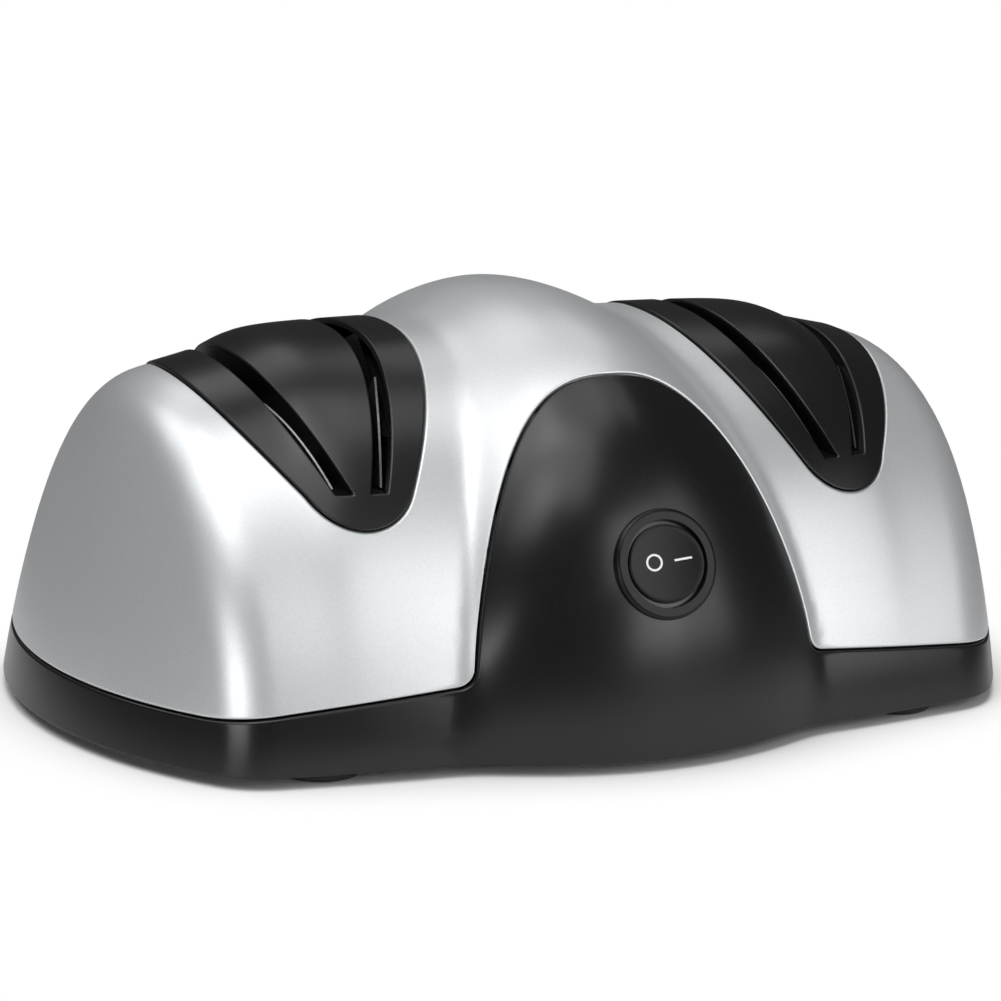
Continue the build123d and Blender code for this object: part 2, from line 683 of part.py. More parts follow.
with BuildPart() as switch_rocker:
    # Gently hollowed cap, drawn in the plane across its axis and rocked over to its off side.
    reach = ROCKER_R + 2
    rocked = radians(ROCK_HALF)
    across = Plane(
        origin=pivot_plane.origin,
        x_dir=pivot_plane.x_dir * cos(rocked) + pivot_plane.z_dir * sin(rocked),
        z_dir=pivot_plane.y_dir,
    )
    upward = -1 if across.y_dir.dot(pivot_plane.z_dir) < 0 else 1
    with BuildSketch(across):
        with BuildLine():
            rim, keel = upward * (ROCKER_RISE + ROCKER_HOLLOW), -upward * ROCKER_KEEL
            ThreePointArc((-reach, rim), (0, upward * ROCKER_RISE), (reach, rim))
            Polyline((reach, rim), (reach, keel), (-reach, keel), (-reach, rim))
        make_face()
    extrude(amount=ROCKER_R, both=True)
    cap_plane = Plane(
        origin=pivot_plane.origin, x_dir=pivot_plane.y_dir, z_dir=across.y_dir * upward
    )
    with BuildSketch(cap_plane.offset(-10)):
        Circle(ROCKER_R)
    extrude(amount=25, mode=Mode.INTERSECT)
    with BuildSketch(Plane(origin=pivot_plane.origin, x_dir=(1, 0, 0), z_dir=pivot_plane.y_dir)):
        Circle(PIVOT_R)
    extrude(amount=WELL_R + 0.6, both=True)
save(switch_rocker.part, "switch_rocker")

with BuildPart() as switch_terminals:
    with BuildSketch(switch_plane.offset(-SEAT_DEPTH - CAN_DEPTH)):
        with Locations((-4, 0), (4, 0)):
            Rectangle(0.8, 4.8)
    extrude(amount=-8)
save(switch_terminals.part, "switch_terminals")

# ---- cord inlet and feet ------------------------------------------------------------------
with BuildPart() as cord_gland:
    with BuildSketch(Plane.XZ.offset(-GLAND_FACE_Y)):
        with Locations((GLAND_X, GLAND_Z)):
            Circle(5.6)
    extrude(amount=-1.2)
    with BuildSketch(Plane.XZ.offset(-GLAND_FACE_Y)):
        with Locations((GLAND_X, GLAND_Z)):
            Circle(4.0)
    extrude(amount=16)
    with BuildSketch(Plane.XZ.offset(-GLAND_FACE_Y - 5)):
        with Locations((GLAND_X, GLAND_Z)):
            Circle(2.6)
    extrude(amount=25, mode=Mode.SUBTRACT)
save(cord_gland.part, "cord_gland")

with BuildPart() as terminal_block:
    with BuildSketch(Plane.XY.offset(FLOOR_TOP)):
        with Locations((26, 52)):
            Rectangle(16, 12)
    extrude(amount=9)
    with BuildSketch(Plane.XY.offset(FLOOR_TOP + 9)):
        with Locations((22, 52), (30, 52)):
            Circle(2.2)
    extrude(amount=-5, mode=Mode.SUBTRACT)
save(terminal_block.part, "terminal_block")

for place, name in zip(FOOT_PLACES, ("front_left", "front_right", "back_left", "back_right")):
    with BuildPart() as foot:
        add(upright([place], 0, BASE_GAP + 1.0, FOOT_R))
        add(upright([place], BASE_GAP + 1.0, FLOOR_TOP + 1.2, 2.5))
        chamfer(foot.edges().sort_by(Axis.Z)[0], 0.6)
    save(foot.part, f"foot_{name}")
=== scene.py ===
# %% [markdown]
# # Two-stage electric knife sharpener
# The engineering model comes in as a fixed frame: every body and node sits where the mechanism
# needs it. This file gives the object its looks. It builds fine skins for the mouldings, adds the
# finishes, and sets up a small studio. Sizes below are in millimetres, because that is how the
# real mouldings are dimensioned, and every mesh is turned into metres when it is made.

# %% Load the frame
import math
import bpy
import bmesh
import numpy as np
from mathutils import Matrix, Vector
from mathutils.geometry import delaunay_2d_cdt
from mathutils.kdtree import KDTree


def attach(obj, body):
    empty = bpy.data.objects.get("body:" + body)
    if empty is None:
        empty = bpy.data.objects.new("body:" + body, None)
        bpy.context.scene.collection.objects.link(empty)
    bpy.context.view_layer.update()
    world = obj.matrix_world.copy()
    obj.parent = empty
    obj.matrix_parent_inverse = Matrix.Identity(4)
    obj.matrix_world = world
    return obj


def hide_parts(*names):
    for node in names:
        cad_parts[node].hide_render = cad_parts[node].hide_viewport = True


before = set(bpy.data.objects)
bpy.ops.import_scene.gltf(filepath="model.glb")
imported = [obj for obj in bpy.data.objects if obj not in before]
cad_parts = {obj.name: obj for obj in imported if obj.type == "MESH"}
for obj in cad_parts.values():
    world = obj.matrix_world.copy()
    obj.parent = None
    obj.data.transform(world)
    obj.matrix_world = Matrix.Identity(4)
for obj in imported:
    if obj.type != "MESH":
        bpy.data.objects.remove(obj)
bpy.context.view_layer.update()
MM = 0.001

# %% [markdown]
# ## The outer form
# The housing is one flowing form: two sloping shoulders, a dome that rises between them, and two
# bowed end faces. Each cross-section is a superellipse, a circle whose corners can be made fuller.
# A formula is better than modelling by hand here, because every moulding is later cut out of the
# same form, and neighbours then meet without a step.

# %% Driving dimensions of the form
HALF_LENGTH = 110.0
LOBE_DEPTH, LOBE_TOP = 139.6, 78.6
DOME_DEPTH, DOME_TOP = 156.6, 85.6
LOBE_TAPER, BACK_TAPER = 12.4, 33.0
TOP_SLOPE, SLOPE_START, SLOPE_BLEND = 0.21, 56.7, 60.0
TOP_STEP, STEP_X, STEP_SOFT = 2.2, 63.5, 2.0
END_DRAFT, END_BOW, END_ARC = 0.147, 0.0022, 91.0
END_TURN, END_TURN_Z, END_TURN_POWER = 3.8, 80.0, 6
SHOULDER, SHOULDER_GROW = 8.0, 17.0
DOME_HALF_WIDTH, DOME_ARC, DOME_BRIM = 42.7, 72.0, 0.5
LOBE_POWERS, DOME_POWERS, CROWN_POWERS = (2.22, 1.76), (2.17, 2.72), (1.774, 0.263)
MEET_POWER = 70
print("form", 2 * HALF_LENGTH, "mm long,", DOME_DEPTH, "deep and", DOME_TOP, "high")

# %% Reach of a superellipse
NEWTON_ROUNDS, TINY = 9, 1e-9


def superellipse_reach(cosine, sine, half_width, height, powers):
    """Distance from the middle to a superellipse in one direction, by Newton's method."""
    across = np.maximum(np.abs(cosine), TINY) / half_width
    up = np.maximum(sine, TINY) / height
    reach = 1 / np.maximum(across, up)
    for _ in range(NEWTON_ROUNDS):
        a, b = (reach * across) ** powers[0], (reach * up) ** powers[1]
        reach = reach - (a + b - 1) * reach / (powers[0] * a + powers[1] * b)
    return reach


# %% [markdown]
# The sections are worked out at close stations along the length and joined by a cubic curve, as a
# loft does. Where the dome meets a shoulder the stations are close enough to keep the soft crease.

# %% Table of sections
STATION_PITCH, STATIONS_EACH_SIDE = 1.0, 113
ANGLES = np.linspace(0, math.pi, 1441)  # from the front over to the back, in eighths of a degree
stations = STATION_PITCH * np.arange(-STATIONS_EACH_SIDE, STATIONS_EACH_SIDE + 1)
station_count = len(stations)


def section_reach(x):
    """Reach of the cross-section at x, at every one of the angles."""
    cosine, sine = np.cos(ANGLES), np.sin(ANGLES)
    past = abs(x) - SLOPE_START
    top = LOBE_TOP - TOP_SLOPE * (past + math.sqrt(past**2 + SLOPE_BLEND)) / 2
    top -= TOP_STEP / (1 + math.exp((STEP_X - abs(x)) / STEP_SOFT))
    taper = np.where(ANGLES > math.pi / 2, BACK_TAPER, LOBE_TAPER)
    half_depth = LOBE_DEPTH / 2 - taper * (x / HALF_LENGTH) ** 2
    reach = superellipse_reach(cosine, sine, half_depth, top, LOBE_POWERS)
    if abs(x) < DOME_HALF_WIDTH - DOME_BRIM:
        crown = 1 - (abs(x) / DOME_HALF_WIDTH) ** CROWN_POWERS[0]
        height = DOME_TOP * crown ** CROWN_POWERS[1]
        half_depth = DOME_DEPTH / 2 - x**2 / (2 * DOME_ARC)
        dome = superellipse_reach(cosine, sine, half_depth, height, DOME_POWERS)
        outer = np.maximum(reach, dome)
        meeting = (reach / outer) ** MEET_POWER + (dome / outer) ** MEET_POWER
        reach = outer * meeting ** (1 / MEET_POWER)
    return reach


reaches = np.array([section_reach(x) for x in stations])
print("sections", reaches.shape, "from", reaches.min().round(1), "to", reaches.max().round(1))

# %% Slopes of the cubic curve through the stations, from one banded system
beside = np.eye(station_count, k=1) + np.eye(station_count, k=-1)
bands = np.eye(station_count) * 4 + beside
bands[0, 0] = bands[-1, -1] = 2
rises = np.empty_like(reaches)
rises[1:-1] = 3 * (reaches[2:] - reaches[:-2])
rises[0], rises[-1] = 3 * (reaches[1] - reaches[0]), 3 * (reaches[-1] - reaches[-2])
slopes = np.linalg.solve(bands, rises)
print("steepest slope", np.abs(slopes).max().round(2))

# %% Reach at any place
INSIDE_END = 1.001  # keeps a place within the last interval of the table


def reach_and_slopes(x, angle):
    """Reach of the section at x and angle, with its slope along x and along the angle."""
    place = np.clip((x - stations[0]) / STATION_PITCH, 0, station_count - INSIDE_END)
    row = place.astype(int)
    t = place - row
    fine = np.clip(angle / ANGLES[1], 0, len(ANGLES) - INSIDE_END)
    column = fine.astype(int)
    s = fine - column

    def cubic(column):
        low, high = reaches[row, column], reaches[row + 1, column]
        low_slope, high_slope = slopes[row, column], slopes[row + 1, column]
        value = (
            (2 * t**3 - 3 * t**2 + 1) * low + (t**3 - 2 * t**2 + t) * low_slope
            + (3 * t**2 - 2 * t**3) * high + (t**3 - t**2) * high_slope
        )
        slope = (
            (6 * t**2 - 6 * t) * (low - high) + (3 * t**2 - 4 * t + 1) * low_slope
            + (3 * t**2 - 2 * t) * high_slope
        ) / STATION_PITCH
        return value, slope

    (left, left_slope), (right, right_slope) = cubic(column), cubic(column + 1)
    value = left * (1 - s) + right * s
    return value, left_slope * (1 - s) + right_slope * s, (right - left) / ANGLES[1]


# %% [markdown]
# A distance to the form says everything that the later steps ask: which side of the skin a point
# is on, how far away it is and, from the distances around it, which way the skin faces there. The
# end faces and the shoulder corner come in here, because a ball rolled between two distances
# gives a fillet of any radius.

# %% Distance of any point from the form
BOW_FLOOR = 100.0  # keeps the end's arc real for points beyond its radius
NORMAL_STEP = 1.0


def gap(points):
    """Signed distance in mm from the form's skin, outside positive.

    The side and the end face are met by a rolling ball fillet, whatever the angle between them,
    and the ball is larger where they nearly face the same way, which keeps the corner soft.
    """
    x, y, z = points[:, 0], points[:, 1], points[:, 2]
    radius = np.maximum(np.hypot(y, z), 1e-6)
    reach, slope_x, slope_angle = reach_and_slopes(x, np.arctan2(np.maximum(z, 0), -y))
    twist = slope_angle / reach
    side_length = np.sqrt(1 + slope_x**2 + twist**2)
    bow = np.sqrt(np.maximum(END_ARC**2 - y**2, BOW_FLOOR))
    high = np.maximum(z, 0) / END_TURN_Z
    turn_lean = END_TURN_POWER * END_TURN * high ** (END_TURN_POWER - 1) / END_TURN_Z
    lean = END_DRAFT + 2 * END_BOW * z + turn_lean
    end_length = np.sqrt(1 + lean**2 + (y / bow) ** 2)
    turned_in = END_TURN * high**END_TURN_POWER
    end = HALF_LENGTH - END_DRAFT * z - END_BOW * z**2 - turned_in - END_ARC + bow
    facing = (
        -slope_x * np.sign(x) + (y - twist * z) / radius * y / bow
        + (z + twist * y) / radius * lean
    ) / side_length / end_length
    ball_radius = SHOULDER + SHOULDER_GROW * np.clip(facing, 0, 1) ** 2
    side = (radius - reach) / side_length + ball_radius
    end = (np.abs(x) - end) / end_length + ball_radius
    share_side, share_end = side - facing * end, end - facing * side
    squares = np.maximum(side * share_side + end * share_end, 0)
    ball = np.sqrt(squares / np.maximum(1 - facing**2, 1e-3))
    between = (share_side > 0) & (share_end > 0)
    return np.where(between, ball, np.maximum(side, end)) - ball_radius


def outward(points):
    """Unit normals of the skin, taken over a step that is wider than the mesh's own facets."""
    steps = np.eye(3) * NORMAL_STEP
    slope = np.stack([gap(points + step) - gap(points - step) for step in steps], axis=1)
    return slope / np.linalg.norm(slope, axis=1, keepdims=True)


crown_top = np.array([[0.0, 0.0, DOME_TOP]])
print("crown", gap(crown_top).round(3), "mm off the skin, facing", outward(crown_top).round(2))

# %% [markdown]
# A flat map of the form makes cutting easy. Looking up from a point under the table, each ray
# meets the skin once, so a place on the skin and a place on the table name each other. Outlines
# are drawn and filled with triangles on the flat map, then thrown back on to the skin.

# %% Flat map of the skin
EYE_DROP = 70.0  # how far under the table the map's eye is
RAY_START, RAY_END = 0.1, 2.6  # limits of the search, as shares of the way up to the table
HALVINGS = 36


def flatten(points):
    """Places on the table, as (x, y), of points of the skin."""
    return points[:, :2] * (EYE_DROP / (points[:, 2:3] + EYE_DROP))


def solve(place, size, low, high):
    """For each of size points, place(value) where it crosses the skin between low and high."""
    low, high = np.full(size, low), np.full(size, high)
    for _ in range(HALVINGS):
        middle = (low + high) / 2
        inside = gap(place(middle)) < 0
        low, high = np.where(inside, middle, low), np.where(inside, high, middle)
    return place(low)


def raise_up(flat):
    """Points of the skin over points of the flat map."""
    ray = np.column_stack([flat, np.full(len(flat), EYE_DROP)])
    eye = np.array([0, 0, -EYE_DROP])
    return solve(lambda share: eye + ray * share[:, None], len(flat), RAY_START, RAY_END)


print("the middle of the map is the skin's point", raise_up(np.zeros((1, 2))).round(1))

# %% [markdown]
# ## Outlines of the mouldings
# Seen from the front, the parting lines are simple curves: a sloping line, an arch, the U of each
# insert and the leaning bars of the slots. Each is followed round the form and stored as a closed
# loop of evenly spaced points.

# %% Points on the skin along a line
CORE = 5.0  # a radius that is inside the form everywhere
DEPTH_LIMIT, SECTION_LIMIT, PLAN_LIMIT = 95.0, 110.0, 140.0  # outside the form in each search


def straight_out(line, facing=-1):
    """Skin points in front of a line of (x, z) points, or behind it with facing 1."""
    x, z = line[:, 0], line[:, 1]
    return solve(lambda y: np.column_stack([x, facing * y, z]), len(x), 0.0, DEPTH_LIMIT)


def over_the_top(line, turns):
    """Skin points along a rising (x, z) line, at angles from the front over to the back."""
    def place(radius):
        z = radius * np.sin(turns)
        return np.column_stack([np.interp(z, line[:, 1], line[:, 0]), -radius * np.cos(turns), z])

    return solve(place, len(turns), CORE, SECTION_LIMIT)


def round_about(height_at, turns):
    """Skin points at a height, at compass angles round the form."""
    def place(radius):
        x = radius * np.cos(turns)
        return np.column_stack([x, radius * np.sin(turns), height_at(x)])

    return solve(place, len(turns), CORE, PLAN_LIMIT)


def even_loop(points, pitch):
    """The closed loop through points, sampled again at an even pitch and set back on the skin."""
    closed = np.vstack([points, points[:1]])
    run = np.concatenate([[0], np.cumsum(np.linalg.norm(np.diff(closed, axis=0), axis=1))])
    steps = np.linspace(0, run[-1], max(int(run[-1] / pitch), 8), endpoint=False)
    even = np.column_stack([np.interp(steps, run, closed[:, k]) for k in range(3)])
    return raise_up(flatten(even))


# %% [markdown]
# The black base carries the skirt all round and the arch at the front, in one moulding. The arch
# is a superellipse too, and a small arc flares each of its feet into the skirt. The cover follows
# the same line a seam's width further out.

# %% The front arch and the skirt's edge as lines seen from the front
PART_AT_ENDS, PART_AT_ARCH, PART_BEND_X, PART_LEVEL_X = 13.0, 17.7, 90.0, 20.0
ARCH_HALF_WIDTH, ARCH_FOOT, ARCH_TOP, ARCH_POWERS = 38.2, 14.4, 74.4, (2.35, 1.6)
ARCH_FLARE, FLARE_STEPS, FLARE_HALVINGS = 4.0, 16, 40
LINE_STEPS = 400


def part_height(x, grow):
    """Height of the skirt's upper edge: level in the middle, sloping down towards the ends."""
    rise = (PART_AT_ARCH - PART_AT_ENDS) / (PART_BEND_X - ARCH_HALF_WIDTH)
    from_bend = PART_BEND_X - np.clip(np.abs(x), PART_LEVEL_X, PART_BEND_X)
    return PART_AT_ENDS + grow + rise * from_bend


def arch_line(grow):
    """(x, z) points of the arch from its right foot over to the left, with flared feet."""
    turns = np.linspace(0, math.pi / 2, LINE_STEPS)
    across = (ARCH_HALF_WIDTH + grow) * np.cos(turns).clip(0) ** (2 / ARCH_POWERS[0])
    up = ARCH_FOOT + (ARCH_TOP + grow - ARCH_FOOT) * np.sin(turns) ** (2 / ARCH_POWERS[1])
    arch = np.column_stack([across, up])
    near, far = ARCH_HALF_WIDTH + grow, ARCH_HALF_WIDTH + grow + 2 * ARCH_FLARE
    for _ in range(FLARE_HALVINGS):  # moves the flare's circle until it just touches the arch
        x = (near + far) / 2
        centre = np.array([x, part_height(x, grow) + ARCH_FLARE])
        reach = np.linalg.norm(arch - centre, axis=1)
        near, far = (x, far) if reach.min() < ARCH_FLARE else (near, x)
    touch = reach.argmin()
    last = math.atan2(*(arch[touch] - centre)[::-1])
    bend = np.linspace(-math.pi / 2, last if last < 0 else last - 2 * math.pi, FLARE_STEPS)
    flare = centre + ARCH_FLARE * np.column_stack([np.cos(bend), np.sin(bend)])
    half = np.vstack([flare[:-1], arch[touch:]])
    return np.vstack([half, half[::-1][1:] * [-1, 1]])


# %% The parting line, and the rim over the table
BASE_GAP, SEAM, OUTLINE_PITCH, ROUND_STEPS = 2.3, 0.35, 1.0, 1500


def part_loop(grow):
    """The parting line: over the arch, then round the skirt's edge by the back."""
    arch = straight_out(arch_line(grow))
    start, end = (math.atan2(foot[1], foot[0]) for foot in (arch[-1], arch[0]))
    turns = np.linspace(start, end - 2 * math.pi, ROUND_STEPS)[1:-1]
    skirt = round_about(lambda x: part_height(x, grow), turns)
    return even_loop(np.vstack([arch, skirt]), OUTLINE_PITCH)


def rim_loop():
    """The base's lower rim, level all round."""
    turns = np.linspace(0, -2 * math.pi, ROUND_STEPS, endpoint=False)
    return even_loop(round_about(lambda x: np.full(len(x), BASE_GAP), turns), OUTLINE_PITCH)


cover_outline = part_loop(SEAM)
print("cover outline", len(cover_outline), "points, rim", len(rim_loop()), "points")

# %% [markdown]
# Each insert is a saddle that drapes over a shoulder. From the front its edge is a U with a round
# tip, and its arms spread as they rise and go over the top to the same U at the back. The two
# slots lean apart inside it, one for each side of the blade.

# %% An arc through three points
def arc_through(a, b, c, steps):
    """Points of the circle arc from a through b to c."""
    a, b, c = (complex(*p) for p in (a, b, c))
    w = (c - a) / (b - a)
    centre = (b - a) * (w - abs(w) ** 2) / (2j * w.imag) + a
    start = a - centre
    turn = np.angle((b - centre) / start) + np.angle((c - centre) / (b - centre))
    path = centre + start * np.exp(1j * np.linspace(0, turn, steps))
    return np.column_stack([path.real, path.imag])


# %% The U of the inserts, and the slots
STAGE_X, INSERT_TIP_Z, INSERT_PROUD = 55.7, 47.6, 0.4
INNER_ARM = np.array([(20.0, 95.0), (29.6, 79.5), (38.4, 64.5), (STAGE_X - 10.4, 53.0)])
OUTER_ARM = np.array([(STAGE_X + 10.2, 53.6), (73.4, 63.2), (80.0, 72.6), (98.0, 95.0)])
SLOTS = [(51.75, -22.9), (58.75, 24.9)]  # x of the foot, and lean in degrees
SLOT_FLOOR_Z, SLOT_WIDTH, SLOT_OPENING, SLOT_RISE = 54.0, 3.4, 0.02, 40
ARM_STEPS, U_TIP_STEPS, SLOT_TIP_STEPS, SLOT_PITCH = 40, 80, 12, 0.6


def closed_over(tip, inner, outer, side, pitch):
    """Loop of a front end, a line over the top, the same end at the back, and a line home."""
    front, back = straight_out(tip), straight_out(tip[::-1], 1)

    def lap(line, start, end):
        turns = [math.atan2(point[2], -point[1]) for point in (start, end)]
        return over_the_top(line, np.linspace(*turns, LINE_STEPS))[1:-1]

    loop = np.vstack([front, lap(outer, front[-1], back[0]), back, lap(inner, back[-1], front[0])])
    return even_loop(loop * [side, 1, 1], pitch)


def u_loop(side, grow, pitch):
    """The edge of an insert: an arc for each arm and for the tip, moved outwards by grow."""
    inner, outer = INNER_ARM - [grow, 0], OUTER_ARM + [grow, 0]
    tip = arc_through(inner[-1], (STAGE_X, INSERT_TIP_Z - grow), outer[0], U_TIP_STEPS)
    inner = np.vstack([inner[:1], arc_through(*inner[1:], ARM_STEPS)])[::-1]
    outer = np.vstack([arc_through(*outer[:-1], ARM_STEPS), outer[-1:]])
    return closed_over(tip, inner, outer, side, pitch)


def slot_loop(side, slot):
    """The edge of a slot: a leaning bar that opens a little as it rises."""
    foot, lean = slot
    edges = []
    for edge in (-1, 1):
        low = np.array([foot + edge * SLOT_WIDTH / 2, SLOT_FLOOR_Z])
        rise = np.array([math.tan(math.radians(lean)) + edge * SLOT_OPENING, 1])
        edges.append(np.array([low, low + rise * SLOT_RISE]))
    tip = np.linspace(edges[0][0], edges[1][0], SLOT_TIP_STEPS)
    return closed_over(tip, *edges, side, SLOT_PITCH)


print("slot", len(slot_loop(1, SLOTS[0])), "points")

# %% [markdown]
# ## Filling an outline with skin
# A moulding's edge is never sharp: it rolls over in a small radius and runs down into the seam.
# That roll catches the light as a thin bright line, so it has to be in the mesh. Rings of points
# follow each outline, a grid of points fills the rest, and a constrained triangulation joins them.
# A boolean cut and a bevel would be quicker to write, but they leave ragged edges on such a form.

# %% Which way an edge goes down
STEADY_REACH = 5
LEVEL_FROM, LEVEL_OVER, LEAST_FACING = 0.45, 0.3, 0.4  # front-to-back share of the normal


def steadied(normals):
    """Directions along a closed line, each averaged with its neighbours: no jumps at a crease."""
    shifts = range(-STEADY_REACH, STEADY_REACH + 1)
    total = sum(np.roll(normals, shift, axis=0) for shift in shifts)
    return total / np.linalg.norm(total, axis=1, keepdims=True)


def ways_down(normals):
    """Ways down from the skin: along the normal, turning level where the skin faces front or back.

    The seams there are cut straight from front to back, so a level way stays on the cut.
    """
    share = np.clip((np.abs(normals[:, 1:2]) - LEVEL_FROM) / LEVEL_OVER, 0, 1)
    level = np.zeros_like(normals)
    level[:, 1] = np.sign(normals[:, 1]) / np.abs(normals[:, 1]).clip(LEAST_FACING)
    return normals * (1 - share) + level * share


# %% Rings along the outlines
ROLL, SLOT_ROLL, ROLL_STEPS, WALL_RUN = 0.6, 0.45, 5, 0.8
WIDE_SPREAD, SLOT_SPREAD = (0.5, 1.4), (0.3,)  # distances of the last rings from the roll


def loop_rings(loop, roll, inward, spread):
    """Rings from the bottom of the seam wall up over the rolled edge and on to the skin.

    Gives skin places, how far each sinks below the skin, and normals, ring by ring.
    """
    normal = steadied(outward(loop))
    along = np.roll(loop, -1, axis=0) - np.roll(loop, 1, axis=0)
    along /= np.linalg.norm(along, axis=1, keepdims=True)
    into = np.cross(normal, along) * inward
    into /= np.linalg.norm(into, axis=1, keepdims=True)
    rings = [(loop, roll + WALL_RUN, -into)]
    for step in range(ROLL_STEPS):
        turn = math.pi / 2 * (1 - step / (ROLL_STEPS - 1))
        sine, cosine = math.sin(turn), math.cos(turn)
        place = loop + into * roll * (1 - sine)
        rings.append((place, roll * (1 - cosine), normal * cosine - into * sine))
    return rings + [(loop + into * (roll + further), 0.0, None) for further in spread]


def edge_rings(loops, roll, spread):
    """The rings of the outline, which comes first, and of its holes.

    Gives points on the skin, their sinks, ways down and normals, then the rings' edges and the
    faces of the seam walls.
    """
    places, sinks, ways, normals, edges, walls = [], [], [], [], [], []
    total = 0
    for number, loop in enumerate(loops):
        flat = flatten(loop)
        turn = np.sign(np.cross(flat, np.roll(flat, -1, axis=0)).sum())
        inward = turn if number == 0 else -turn
        pairs = [(i, (i + 1) % len(loop)) for i in range(len(loop))]
        for level, (place, sink, normal) in enumerate(loop_rings(loop, roll, inward, spread)):
            on_skin = raise_up(flatten(place))
            straight = outward(on_skin)
            places.append(on_skin)
            sinks.append(np.full(len(loop), sink))
            ways.append(ways_down(steadied(straight)))
            normals.append(straight if normal is None else normal)
            upper = total + len(loop)
            if level == 0:
                quads = [(total + i, total + j, upper + j, upper + i) for i, j in pairs]
                walls += [quad[::int(inward)] for quad in quads]
            else:
                edges += [(total + i, total + j) for i, j in pairs]
            total = upper
    stacked = [np.concatenate(rows) for rows in (places, sinks, ways, normals)]
    return *stacked, edges, walls


# %% Inside or outside on the flat map
def even_odd(points, loop):
    """Whether each flat point lies inside a closed flat loop."""
    inside = np.zeros(len(points), bool)
    for a, b in zip(loop, np.roll(loop, -1, axis=0)):
        crosses = (a[1] > points[:, 1]) != (b[1] > points[:, 1])
        if crosses.any():
            x = (b[0] - a[0]) * (points[crosses, 1] - a[1]) / (b[1] - a[1]) + a[0]
            inside[crosses] ^= points[crosses, 0] < x
    return inside


def on_moulding(points, flats):
    """Whether each flat point lies inside the outline, which comes first, and in no hole."""
    keep = even_odd(points, flats[0])
    for hole in flats[1:]:
        keep &= ~even_odd(points, hole)
    return keep


# %% Points between the rings
RING_CLEARANCE = 0.55  # free strip beside the rings, as a share of the pitch
GRID_FINENESS = 1.6  # how much finer than that strip the flat grid is


def filling(flats, rings, pitch):
    """Points of the skin at about the pitch, clear of the rings: one from each cell of space."""
    low = flats[0].min(axis=0)
    fine = RING_CLEARANCE * pitch / GRID_FINENESS
    steps = [np.arange(int(length / fine)) for length in flats[0].max(axis=0) - low]
    grid = np.stack(np.meshgrid(*steps), axis=-1).reshape(-1, 2).astype(float)
    grid[:, 0] += 0.5 * (grid[:, 1] % 2)
    grid = low + (grid + 0.5) * fine
    inner = raise_up(grid[on_moulding(grid, flats)])
    cells = np.floor(inner / pitch).astype(int)
    inner = inner[np.sort(np.unique(cells, axis=0, return_index=True)[1])]
    tree = KDTree(len(rings))
    for i, point in enumerate(rings):
        tree.insert(point, i)
    tree.balance()
    return inner[[tree.find(point)[2] > RING_CLEARANCE * pitch for point in inner]]


# %% Triangles over all the points, and one moulding's skin
CLOSE = 1e-9


def triangles(flat, edges, ring_count, flats):
    """Triangles over the flat points that keep the rings' edges and turn the same way."""
    used = sorted({i for edge in edges for i in edge}) + list(range(ring_count, len(flat)))
    number = {v: k for k, v in enumerate(used)}
    fixed = [(number[a], number[b]) for a, b in edges]
    _, _, found, sources, _, _ = delaunay_2d_cdt(
        [Vector(flat[v]) for v in used], fixed, [], 0, CLOSE)
    faces = np.array([[used[sources[v][0]] for v in face] for face in found])
    faces = faces[on_moulding(flat[faces].mean(axis=1), flats)]
    a, b, c = (flat[faces[:, k]] for k in range(3))
    flipped = np.cross(b - a, c - a) < 0
    faces[flipped] = faces[flipped][:, ::-1]
    return [tuple(face) for face in faces]


def skin_mesh(loops, roll, lift, pitch, spread=WIDE_SPREAD):
    """Vertices, faces and normals of one moulding's skin, in mm."""
    flats = [flatten(loop) for loop in loops]
    rings, sinks, ways, normals, edges, walls = edge_rings(loops, roll, spread)
    inner = filling(flats, rings, pitch)
    points = np.vstack([rings, inner])
    faces = triangles(flatten(points), edges, len(rings), flats)
    straight = outward(inner)
    rise = lift - np.concatenate([sinks, np.zeros(len(inner))])
    points = points + np.vstack([ways, straight]) * rise[:, None]
    return points, faces + walls, np.vstack([normals, straight])


# %% Skin of the silver cover
SIDES = ((-1, "left"), (1, "right"))
HOLE_PITCH, COVER_PITCH = 0.9, 1.7  # mm between points of an edge, and of the skin
cover_holes = [u_loop(side, SEAM, HOLE_PITCH) for side, _ in SIDES]
cover_skin = skin_mesh([cover_outline, *cover_holes], ROLL, 0.0, COVER_PITCH)
print("cover skin", len(cover_skin[0]), "vertices", len(cover_skin[1]), "faces")

# %% [markdown]
# ## From skin to moulding
# The skin alone is a shell with no inside. The engineering node already has every rib, post and
# hole, so a copy of it gives the inner walls: its coarse outer faces are taken off, its rim is
# lowered a little, and the fine skin is laid over it. The result is one piece with a perfect
# outside and a true inside.

# %% The inner walls of a node
SKIN_BELOW, SKIN_ABOVE = 0.8, 2.4  # mm from the form, between which a point is on the outside
MERGE = 2e-6  # metres between points that are one
ACROSS_SKIN, SLIVER = 0.6, 0.02  # cosine to the skin, and area over squared length


def is_wall(face, on_skin, normals):
    """Whether a face leaves the skin, or lies across it and isn't a sliver."""
    if not all(on_skin[v.index] for v in face.verts):
        return True
    longest = max(edge.calc_length() for edge in face.edges)
    across = abs(face.normal.dot(Vector(normals[face.verts[0].index]))) < ACROSS_SKIN
    return across and face.calc_area() > SLIVER * longest**2


